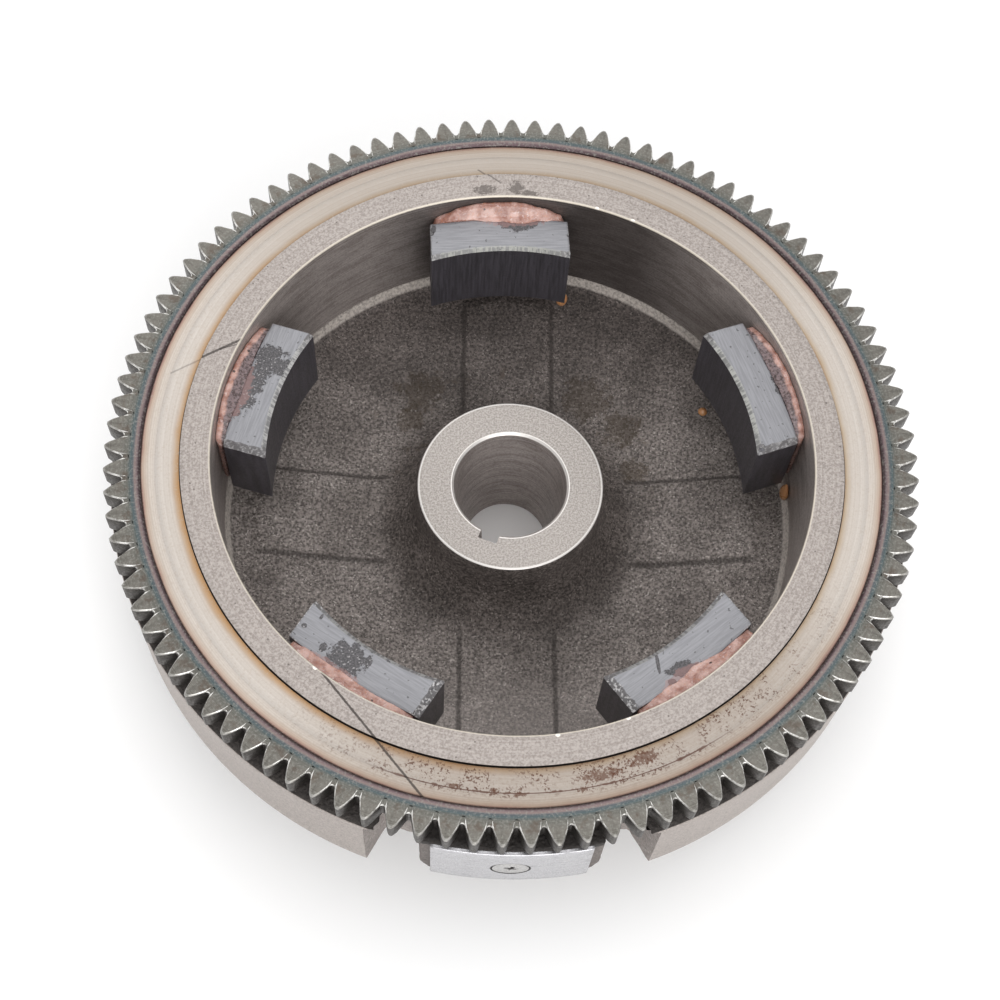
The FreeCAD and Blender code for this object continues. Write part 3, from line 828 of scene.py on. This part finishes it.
# The five charging magnets. Sintered ferrite blocks with parallel ends, their faces ground to an arc and their
# backs too, glued to the bowl's wall. Ground ferrite is brittle, so its edges are chamfered and chipped.
MAGNET_ANGLES = (19.1, 93.1, 164.0, 237.5, 307.6)
MAGNET_HALF = 18.6
MAGNET_DEEP = 9.5
MAGNET_FACE_R = 62.0
MAGNET_BACK_R = 150.0
MAGNET_BACK_MID = 71.5
MAGNET_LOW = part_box("charge_magnet_1")[0].z / MM
MAGNET_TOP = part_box("charge_magnet_1")[1].z / MM
CELL = 0.8


def magnet_back(y):
    return MAGNET_BACK_MID - MAGNET_BACK_R + math.sqrt(MAGNET_BACK_R ** 2 - y * y)


def slice_up(axis, low, high, step):
    """Cuts the open mesh across an axis at even steps, so that it can be bent and roughened."""
    count = round((high - low) / step)
    for k in range(1, count):
        place = [0, 0, 0]
        place[axis] = (low + (high - low) * k / count) * MM
        bpy.ops.mesh.select_all(action="SELECT")
        bpy.ops.mesh.bisect(plane_co=place, plane_no=[float(i == axis) for i in range(3)])


magnet_blank = block("magnet_blank", (MAGNET_DEEP, 2 * MAGNET_HALF, MAGNET_TOP - MAGNET_LOW),
    (MAGNET_DEEP / 2, 0, (MAGNET_TOP + MAGNET_LOW) / 2))
pick_edges(magnet_blank, lambda a, b: a.x < 0.1 and b.x < 0.1 and min(a.z, b.z) > MAGNET_TOP - 0.1)
bpy.ops.mesh.bevel(offset=1.0 * MM, segments=1, affect="EDGES")
pick_edges(magnet_blank, lambda a, b: not (abs(a.y - b.y) > 5 and min(a.x, b.x) < 1.2 and max(a.z,
    b.z) > MAGNET_TOP - 1.2))
bpy.ops.mesh.bevel(offset=0.28 * MM, segments=2, affect="EDGES")
slice_up(1, -MAGNET_HALF, MAGNET_HALF, CELL)
slice_up(2, MAGNET_LOW, MAGNET_TOP, CELL)
slice_up(0, 0, MAGNET_DEEP, CELL)
close_piece()
for vert in magnet_blank.data.vertices:
    x, y, z = vert.co / MM
    face = math.sqrt(MAGNET_FACE_R ** 2 - y * y)
    vert.co.x = (face + x / MAGNET_DEEP * (magnet_back(y) - face)) * MM

# where each magnet is chipped, in its own frame: along the tangent, out from the axis, and how big
CHIPS = {
    1: ((-18.5, 60.2, 1.9), (-18.9, 62.0, 1.3), (-17.4, 59.4, 1.0), (18.8, 59.4, 1.0), (-18.8, 69.6, 1.0),
        (-9.0, 61.6, 0.7), (4.0, 62.1, 0.6), (12.5, 60.9, 0.7)),
    2: ((18.7, 59.5, 1.1), (-18.8, 60.0, 1.0), (-18.6, 66.0, 0.8), (18.8, 67.5, 0.9), (-14.0, 60.3, 0.8),
        (0.6, 62.1, 0.7), (9.0, 61.5, 0.6)),
    3: ((18.7, 60.0, 1.6), (18.9, 64.5, 1.1), (19.0, 67.5, 1.2), (-18.7, 59.6, 0.8), (15.6, 60.1, 0.9),
        (6.0, 61.9, 0.7), (-4.0, 62.0, 0.7), (-11.0, 61.3, 0.6)),
    4: ((18.8, 60.5, 1.7), (19.0, 63.5, 1.3), (18.9, 67.0, 1.5), (18.8, 69.5, 1.3), (-18.8, 59.5, 0.9),
        (5.0, 62.0, 0.8), (13.0, 60.9, 0.8)),
    5: ((-18.8, 60.4, 1.6), (-19.0, 63.0, 1.3), (-18.9, 66.3, 1.6), (-18.8, 69.2, 1.1), (18.8, 59.6, 0.8),
        (-6.6, 61.8, 0.9), (8.0, 61.6, 0.6))}
# dark patches on each top where glue was wiped: out, along, half widths, turn in degrees, raggedness
STAINS = {
    1: ((72.3, -2.4, 1.6, 3.4, 0, 1.2), (71.7, 8.0, 0.5, 5.0, -4, 0.4), (72.9, -5.3, 1.0, 1.6, 0, 0.8)),
    2: ((72.6, -5.6, 5.0, 6.6, 0, 0.5), (68.8, 17.6, 1.2, 0.7, 0, 0.8)),
    3: ((70.3, 2.4, 3.4, 9.0, -12, 1.3), (66.8, -7.6, 4.4, 4.6, 0, 1.0)),
    4: ((67.2, -3.6, 4.3, 4.6, 30, 1.0), (65.4, 0.6, 1.4, 1.4, 0, 1.0), (68.2, -10.0, 1.2, 0.9, 0, 0.9),
        (66.2, -17.0, 0.6, 0.6, 0, 0.8), (62.2, -14.8, 0.8, 0.4, 0, 0.8)),
    5: ((69.0, -2.4, 1.7, 3.8, -18, 1.0), (64.4, -6.2, 0.45, 3.0, 60, 0.4), (70.9, -6.4, 1.6, 1.0, 0, 0.8))}
# how bright the painted highlight on each magnet's top chamfer is
CHAMFER_HIGHLIGHT = {1: "#B5B5B0", 2: "#8A8A83", 3: "#B9B8B6", 4: "#A8A7A6", 5: "#A8A7A6"}
GLUE_FILM = {1: (72.6, 7.5, 1.2, 5.5), 2: (71.4, -5.0, 2.3, 9.5), 3: (71.5, 3.0, 2.6, 8.5), 4: (71.2, -5.5, 1.2, 8.0),
             5: (70.5, -3.2, 1.7, 6.0)}


def ellipse(split, out, along, half_out, half_along, turn, ragged, place):
    """One inside a rough-edged oval on the magnet's top, nothing outside it."""
    cos, sin = math.cos(math.radians(turn)), math.sin(math.radians(turn))
    dx = maths("-", split.outputs[0], out)
    dy = maths("-", split.outputs[1], along)
    u = maths("+", maths("*", dx, cos), maths("*", dy, sin))
    v = maths("-", maths("*", dy, cos), maths("*", dx, sin))
    spread = maths("+", maths("**", maths("abs", maths("/", u, half_out)), 2.0),
        maths("**", maths("abs", maths("/", v, half_along)), 2.0))
    noise_here = maths("-", grains(place, 2.0, 5.0, 0.72), 0.5)
    return grade(maths("+", spread, maths("*", noise_here, 5.0 * ragged)), 0.9, 1.08, 1.0, 0.0)


def magnet_material(number, angle):
    # Sintered ferrite, ground: slate grey with a cold blue cast, fine grinding lines along the top, near black
    # on the sides where painted shade deepens the ferrite's own dark tone, a painted highlight on the top chamfer,
    # painted glints on the broken ends and in the wiped patches, rough dark patches where glue was wiped and a thin
    # pink film beside the bead.
    made = blank_material(f"ferrite_ground_{number}")
    place = add("VectorMath", operation="SCALE", _0=add("TexCoord").outputs["Object"], Scale=1000.0)
    own = add("VectorRotate", rotation_type="Z_AXIS", Vector=place.outputs[0], Angle=-math.radians(angle)).outputs[0]
    split = add("SeparateXYZ", _0=own)
    place = place.outputs[0]
    height = split.outputs[2]
    grain = grains(place, 0.5, 3.0, 0.6)
    lines = grains(own, 0.45, 2.0, 0.6, (1.0, 0.06, 0.2))
    on_top = grade(height, MAGNET_TOP - 0.35, MAGNET_TOP - 0.1)
    up_lines = grains(own, 0.6, 2.0, 0.6, (0.3, 1.0, 0.05))
    # the sides: the ferrite's own dark tone, deepened by painted shade
    dark_shaded_sides = blend(grade(up_lines, 0.3, 0.7), "#2B292E", "#434047")
    top = blend(grade(lines, 0.3, 0.7), "#78787D", "#8B8B90")
    colour = blend(on_top, dark_shaded_sides, top)
    sloped = add("SeparateXYZ", _0=add("VectorRotate", rotation_type="Z_AXIS",
        Vector=add("NewGeometry").outputs["True Normal"], Angle=-math.radians(angle)).outputs[0])
    # painted highlight on the top chamfer, broken up by fine ticks
    chamfer_highlight = maths("*", near(sloped.outputs[2], 0.7, 0.2, 0.08), grade(sloped.outputs[0], -0.4, -0.6))
    ticks = grade(grains(own, 0.7, 1.0, 0.5, (0.2, 1.0, 0.2)), 0.42, 0.58, 0.35, 0.9)
    colour = blend(maths("*", chamfer_highlight, ticks), colour, paint(CHAMFER_HIGHLIGHT[number]))
    # the broken ends: a rough fracture, with painted glints scattered over it
    broken = maths("*", grade(sloped.outputs[2], 0.97, 0.93), maths("*", grade(sloped.outputs[2], 0.3, 0.4),
        maths(">", maths("abs", split.outputs[1]), MAGNET_HALF - 2.6)))
    fracture_glint = grade(grains(place, 0.7, 2.0, 0.6), 0.5, 0.62, 0.0, 0.9 if number > 3 else 0.35)
    colour = blend(maths("*", broken, 0.85), colour, blend(fracture_glint, "#5B5859", "#D4D2D2"))
    rough = grade(grain, 0.3, 0.7, 0.34, 0.5)
    patches = None
    for stain in STAINS[number]:
        patch = ellipse(split, *stain, place)
        patches = patch if patches is None else maths("max", patches, patch)
    patches = maths("*", patches, on_top)
    dark = blend(grade(grain, 0.42, 0.58), "#302E31", "#5B585B")
    # painted glints in the wiped patches
    patch_glint = grade(grains(place, 0.45, 0.0), 0.68, 0.78, 0.0, 0.6 if number in (3, 4) else 0.1)
    dark = blend(patch_glint, dark, "#BDBABB")
    colour = blend(patches, colour, dark)
    film = ellipse(split, *GLUE_FILM[number], 0, 0.9, place)
    film = maths("*", maths("*", film, on_top), 0.55)
    colour = blend(film, colour, "#9A7470")
    pits = grade(grains(place, 1.1, 1.0, 0.4), 0.24, 0.29, 0.75, 0.0)
    colour = blend(pits, colour, "#2A282B")
    rough = maths("+", rough, maths("*", patches, 0.25))
    bumps = maths("+", maths("*", lines, 0.5), maths("*", maths("*", patches, grains(place, 0.8, 2.0, 0.6)), 3.0))
    shader.inputs["IOR"].default_value = 1.9
    finish_with(colour, 0.15, rough, bumps, 0.06, 0.8)
    return made


def copy_of(piece, name):
    """A copy with its own mesh."""
    made = bpy.data.objects.new(name, piece.data.copy())
    bpy.context.collection.objects.link(made)
    return made


END_BREAK = {1: (-1, 1.6, 1.2), 3: (1, 1.7, 1.3), 4: (1, 1.8, 1.1), 5: (-1, 1.8, 1.1)}    # end, how wide, how deep


def break_end(magnet, end, wide, deep):
    """The top edge of one end broken away along a rough slope, as brittle ferrite does."""
    wedge = block("wedge", (14, 8, 4))
    close_piece()
    use_modifier(wedge, "REMESH", mode="VOXEL", voxel_size=0.45 * MM)
    weigh(wedge, "break", lambda x, y, z: 1.0)
    roughen(wedge, "break", 1.5, 0.28, 2)
    wedge.vertex_groups.clear()
    lean = math.atan2(deep, wide)
    wedge.data.transform(Matrix.Rotation(-end * lean, 4, "X"))
    middle = Vector((66.0, end * (MAGNET_HALF - wide / 2), MAGNET_TOP - deep / 2))
    wedge.data.transform(Matrix.Translation((middle + 2 * Vector((0, end * math.sin(lean), math.cos(lean)))) * MM))
    carve(magnet, wedge)


random.seed(27)
for number, angle in enumerate(MAGNET_ANGLES, start=1):
    magnet = copy_of(magnet_blank, f"ferrite_magnet_{number}")
    if number in END_BREAK:
        break_end(magnet, *END_BREAK[number])
    weigh(magnet, f"ground_{number}", lambda x, y, z: 1.0)
    for along, out, size in CHIPS[number]:
        chip = start_piece("chip", "ico_sphere", subdivisions=3, radius=size * MM)
        squash_by = random.uniform(0.45, 0.7)
        bpy.ops.transform.resize(value=(1.0, random.uniform(0.8, 1.5), squash_by))
        bpy.ops.transform.translate(value=(out * MM, along * MM, (MAGNET_TOP + 0.12 * size) * MM))
        close_piece()
        weigh(chip, "broken", lambda x, y, z: 1.0)
        roughen(chip, "broken", 1.7, 0.5, 1)
        chip.vertex_groups.clear()
        carve(magnet, chip)
    turned_by(magnet, angle)
    roughen(magnet, f"ground_{number}", 5.0, 0.05)
    magnet.data.materials.clear()
    magnet.data.materials.append(magnet_material(number, angle))
    finish_piece(magnet, "ferrite", f"charge_magnet_{number}", smooth_to=28)
bpy.data.objects.remove(magnet_blank, do_unlink=True)


# The glue behind each magnet. A filled epoxy run into the gap and piled against the wall: a copper-pink bead,
# higher in the middle, wavy along its crest, with pale skins, small bubbles and a few drips.
GLUE_LOW = 29.4
GLUE_ALONG = 17.9
GLUE_STEPS = 84
WALL_GAP = 0.03
# crest height at the wall's middle, how far the bead laps on to the magnet, and along where it laps most
GLUE_SHAPE = {1: (53.6, 0.3, 6.0), 2: (54.9, 1.3, -4.0), 3: (53.8, 0.7, 2.0), 4: (53.6, 0.6, -5.0),
              5: (53.9, 1.1, -3.0)}


def glue_section(number, along):
    """Points round the bead at a place along it: down the wall, across, up the magnet's back and over."""
    crest_mid, lap_most, lap_at = GLUE_SHAPE[number]
    share = abs(along) / GLUE_ALONG
    ripple = noise.noise(Vector((along * 0.45, number * 7.3, 0.2)))
    ripple += 0.5 * noise.noise(Vector((along * 1.3, number * 3.1, 4.0)))
    wall = math.sqrt((BOWL_R - WALL_GAP) ** 2 - along ** 2)
    gap_side = magnet_back(along) + 0.03
    crest = 50.4 + (crest_mid - 50.4) * (1 - share ** 2.2) + 0.45 * ripple
    lap = lap_most * max(0.0, 1 - ((along - lap_at) / 11.0) ** 2) * (1 + 0.7 * ripple)
    lip = MAGNET_TOP + 0.05
    shelf = min(crest - 0.3, lip + 0.5 + 0.3 * ripple)
    low = GLUE_LOW + 1.2 * share ** 4
    if lap < 0.15:
        lap = 0.0
    top = [(wall, crest), (wall - 0.35 * (wall - gap_side), crest + 0.1), (wall - 0.62 * (wall - gap_side),
        0.55 * crest + 0.45 * shelf), (gap_side + 0.1 * (wall - gap_side), shelf),
        (gap_side - 0.5 * lap, min(shelf, lip + 0.35)), (gap_side - 0.92 * lap, min(shelf, lip + 0.16)),
        (gap_side - lap, min(shelf - 0.1, lip))]
    inside = [(gap_side, min(shelf - 0.15, lip - 0.02))]
    levels = [0.8, 0.6, 0.4, 0.2, 0.0]
    down = [(gap_side, low + (MAGNET_TOP - 1 - low) * level) for level in levels]
    up = [(wall, low + (crest - 1.0 - low) * level) for level in reversed(levels)]
    middle = [((wall + gap_side) / 2, low - 0.3)]
    points = top + inside + down + middle + up
    points.append((wall, crest - 0.5))
    return points


for number, angle in enumerate(MAGNET_ANGLES, start=1):
    ring_size = len(glue_section(number, 0))
    bead = start_piece(f"glue_bead_{number}", "grid", x_subdivisions=GLUE_STEPS, y_subdivisions=ring_size, size=2)
    mesh = bmesh.from_edit_mesh(bead.data)
    for vert in mesh.verts:
        share = (vert.co.x + 1) / 2
        place_round = round((vert.co.y + 1) / 2 * ring_size) % ring_size
        along = GLUE_ALONG * math.sin((share - 0.5) * math.pi)
        section = glue_section(number, along)
        x, z = section[place_round]
        close = 1 - smooth(0.0, 0.9, GLUE_ALONG - abs(along)) if abs(along) < GLUE_ALONG else 1.0
        centre_x = (section[0][0] + magnet_back(along)) / 2
        x += (centre_x - x) * 0.6 * close
        z += (40.0 - z) * 0.12 * close
        vert.co = Vector((x, along, z)) * MM
    bmesh.update_edit_mesh(bead.data)
    bpy.ops.mesh.select_all(action="SELECT")
    bpy.ops.mesh.remove_doubles(threshold=0.00001)
    bpy.ops.mesh.select_all(action="DESELECT")
    bpy.ops.mesh.select_non_manifold()
    bpy.ops.mesh.edge_face_add()
    close_piece()
    weigh(bead, f"crest_{number}", lambda x, y, z: smooth(50.5, 52.5, z) * 0.8)
    use_modifier(bead, "SUBSURF", levels=1, render_levels=1)
    turned_by(bead, angle)
    roughen(bead, f"crest_{number}", 1.3, 0.16)
    bead.vertex_groups.clear()


def glue_blob(number, name, radius, stretch, place):
    """A drip or splash of the same glue: a ball pulled out of shape, part of its magnet's bead."""
    blob = start_piece(name, "uv_sphere", segments=24, ring_count=14, radius=radius * MM)
    bpy.ops.transform.resize(value=stretch)
    mesh = bmesh.from_edit_mesh(blob.data)
    for vert in mesh.verts:
        rise = vert.co.z / (radius * stretch[2] * MM)
        vert.co.x *= 1 - 0.45 * max(0.0, rise)
        vert.co.y *= 1 - 0.45 * max(0.0, rise)
    bpy.ops.mesh.select_all(action="SELECT")
    bpy.ops.transform.translate(value=[p * MM for p in place])
    close_piece()
    turned_by(blob, MAGNET_ANGLES[number - 1])
    weigh(blob, name, lambda x, y, z: 1.0)
    roughen(blob, name, 2.0, 0.12)
    take(blob, bpy.data.objects[f"glue_bead_{number}"])
    bpy.ops.object.join()


glue_blob(1, "drip", 1.7, (0.62, 1.0, 2.3), (71.3, -19.9, 24.6))
glue_blob(1, "small_drip", 1.0, (0.8, 1.0, 1.5), (69.8, -16.6, 27.2))
glue_blob(1, "splash", 1.3, (1.0, 1.0, 0.8), (62.0, 13.0, 17.3))
glue_blob(2, "run", 1.5, (0.9, 1.1, 2.3), (62.4, -18.2, 25.6))

# Copper-filled epoxy: glossy, slightly see-through, copper pink clouded with orange, thin places going pale,
# with dark pinholes from trapped air.
glue = blank_material("epoxy_copper_pink")
place, radius, around, height = where()
cloud = grains(place, 3.0, 3.0, 0.6)
fine = grains(place, 0.8, 3.0, 0.65)
colour = blend(grade(cloud, 0.35, 0.65), "#97685B", "#CAA59B")
colour = blend(grade(fine, 0.5, 0.7, 0.0, 0.35), colour, "#B9713F")
colour = blend(grade(grains(place, 1.2, 4.0, 0.7), 0.58, 0.68, 0.0, 0.6), colour, "#E6D2CE")
# the beads of the two side magnets are darker along the magnet
side_one = maths("max", near(around, MAGNET_ANGLES[0], 16.0, 3.0), near(around, MAGNET_ANGLES[2], 16.0, 3.0))
darker_by_magnet = maths("+", radius, maths("*", cloud, 1.6))
darker_by_magnet = maths("*", side_one, grade(darker_by_magnet, 74.5, 73.8))
colour = blend(maths("*", darker_by_magnet, 0.9), colour, blend(grade(fine, 0.4, 0.6), "#3B3234", "#7A6C6F"))
bubbles = grade(add("TexVoronoi", Vector=place, Scale=1 / 3.4).outputs["Distance"], 0.09, 0.14, 0.9, 0.0)
colour = blend(bubbles, colour, "#2B1B1A")
# painted shade: the bead darkens as it runs down into the gap between magnet and wall
colour = blend(grade(height, 50.5, 47.0, 0.0, 0.7), colour, "#3A2723")
colour = blend(grade(height, 31.0, 29.5, 0.0, 0.85), colour, "#C68D5B")
shader.inputs["Subsurface Weight"].default_value = 0.15
shader.inputs["Subsurface Radius"].default_value = (0.002, 0.001, 0.0006)
shader.inputs["Coat Weight"].default_value = 0.5
shader.inputs["Coat Roughness"].default_value = 0.12
finish_with(colour, 0.0, grade(fine, 0.3, 0.7, 0.22, 0.42), maths("+", fine, cloud), 0.15, 0.6)
for number in range(1, len(MAGNET_ANGLES) + 1):
    bead = bpy.data.objects[f"glue_bead_{number}"]
    bead.data.materials.append(glue)
    finish_piece(bead, "adhesive", f"magnet_adhesive_{number}", smooth_to=60)


# The pole shoe. A mild steel plate over the ignition magnet, turned with the skirt so that both run true under
# the ignition coil, and held by one countersunk cross-recessed screw turned flush.
SHOE_BACK_R = 97.4
shoe_low, shoe_high = [corner.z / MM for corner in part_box("pole_shoe")]
shoe_sweep = math.radians(25)
shoe = spin_section("pole_plate", ((SHOE_BACK_R, shoe_low, 0, 3.0), (SKIRT_R, shoe_low, 0.3, 2.4),
    (SKIRT_R, shoe_high, 0.3, 3.0), (SHOE_BACK_R, shoe_high, 0, 2.4)), 44, shoe_sweep, POLE - shoe_sweep / 2)
bpy.ops.object.mode_set(mode="EDIT")
for side in (-1, 1):
    bpy.ops.mesh.select_all(action="SELECT")
    bpy.ops.mesh.bisect(plane_co=(side * (SHOE_HALF - 0.06) * MM, 0, 0), plane_no=(side, 0, 0), use_fill=True,
        clear_outer=True)
close_piece()
use_modifier(shoe, "BEVEL", width=0.22 * MM, segments=2, limit_method="ANGLE", angle_limit=math.radians(50))
HEAD_R = 4.35


def screw_outside(name, head_r, shank_r, front, length):
    """A countersunk screw's outline lying along -Y: head flat at the front, then cone, then shank."""
    made = start_piece(name, "cylinder", vertices=64, radius=head_r * MM, depth=0.4 * MM)
    lowest = -0.2
    for reach, radius in ((head_r - shank_r, shank_r), (length, shank_r)):
        pick(made, "faces", lambda face: face.calc_center_median().z < (lowest + 0.01) * MM)
        lowest -= reach
        bpy.ops.mesh.extrude_region_move(TRANSFORM_OT_translate={"value": (0, 0, -reach * MM)})
        mesh = bmesh.from_edit_mesh(made.data)
        for vert in mesh.verts:
            if vert.select:
                vert.co.xy = vert.co.xy.normalized() * radius * MM
        bmesh.update_edit_mesh(made.data)
    bpy.ops.mesh.select_all(action="SELECT")
    close_piece()
    made.data.transform(Matrix.Rotation(math.pi / 2, 4, "X"))
    made.data.transform(Matrix.Translation((0, -(front - 0.2) * MM, SCREW_Z * MM)))
    return made


carve(shoe, screw_outside("countersink", HEAD_R + 0.32, 2.8, SKIRT_R + 0.1, 8.0))
screw = screw_outside("pole_screw", HEAD_R, 2.5, SKIRT_R - 0.03, 13.6)
use_modifier(screw, "BEVEL", width=0.12 * MM, segments=2, limit_method="ANGLE", angle_limit=math.radians(40))
for turn in (0.4, 0.4 + math.pi / 2):
    blade = block("blade", (4.6, 3.6, 1.15))
    mesh = bmesh.from_edit_mesh(blade.data)
    for vert in mesh.verts:
        if vert.co.y > 0:
            vert.co.x *= 0.45
            vert.co.z *= 0.7
    close_piece()
    blade.data.transform(Matrix.Rotation(turn, 4, "Y"))
    blade.data.transform(Matrix.Translation((0, -SKIRT_R * MM, SCREW_Z * MM)))
    carve(screw, blade)

# Mild steel turned bright: cold bluish white with fine lines round the axis and a few grey handling marks.
shoe_steel = blank_material("mild_steel_turned_bright")
place, radius, around, height = where()
lines = tool_rings(height, 3.0, 4.0, 0.75)
fine = grains(place, 0.6, 3.0, 0.6)
colour = blend(grade(lines, 0.3, 0.7), "#A9A8AB", "#D5D4D7")
colour = blend(grade(grains(place, 4.0, 4.0, 0.65, (1, 1, 2.5)), 0.52, 0.7, 0.0, 0.45), colour, "#8F8D90")
split = add("SeparateXYZ", _0=place)
from_screw = add("VectorMath", operation="LENGTH", _0=add("CombineXYZ", X=split.outputs[0],
    Y=maths("-", split.outputs[2], SCREW_Z)).outputs[0])
# painted shade in the gap round the screw head
colour = blend(near(from_screw.outputs["Value"], HEAD_R, 0.4, 0.2), colour, "#3E3A39")
finish_with(colour, 0.9, grade(fine, 0.3, 0.7, 0.24, 0.36), maths("+", maths("*", lines, 1.4), fine), 0.03, 0.7)
shoe.data.materials.clear()
shoe.data.materials.append(shoe_steel)
finish_piece(shoe, "pole_steel", "pole_shoe", smooth_to=30)

# Zinc-plated screw steel: pale grey, satin, its recess darkened by painted shade and old oil.
screw_steel = blank_material("screw_steel_zinc_plated")
place, radius, around, height = where()
fine = grains(place, 0.5, 3.0, 0.6)
colour = blend(grade(fine, 0.35, 0.65), "#A8A7A6", "#CFCDCB")
# painted shade deepening into the cross recess
colour = blend(grade(radius, SKIRT_R - 0.12, SKIRT_R - 0.5, 0.0, 0.85), colour, "#3A3533")
finish_with(colour, 0.9, grade(fine, 0.3, 0.7, 0.28, 0.42), fine, 0.03, 0.6)
screw.data.materials.clear()
screw.data.materials.append(screw_steel)
finish_piece(screw, "screw_steel", "pole_shoe_screw", smooth_to=30)

# The ignition magnet, boxed in behind the shoe: a ground ferrite block, dull slate grey with a fine grain. Only
# its edges show, beside and under the shoe, so its frame part is shown as it is.
ignition_ferrite = blank_material("ferrite_ground_ignition")
place, radius, around, height = where()
fine = grains(place, 0.7, 3.0, 0.6)
colour = blend(grade(fine, 0.35, 0.65), "#38373A", "#5C5A5E")
shader.inputs["IOR"].default_value = 1.9
finish_with(colour, 0.15, grade(fine, 0.3, 0.7, 0.42, 0.6), fine, 0.05, 0.7)
for holder in frame["nodes"]["ignition_magnet"].material_slots:
    holder.material = ignition_ferrite
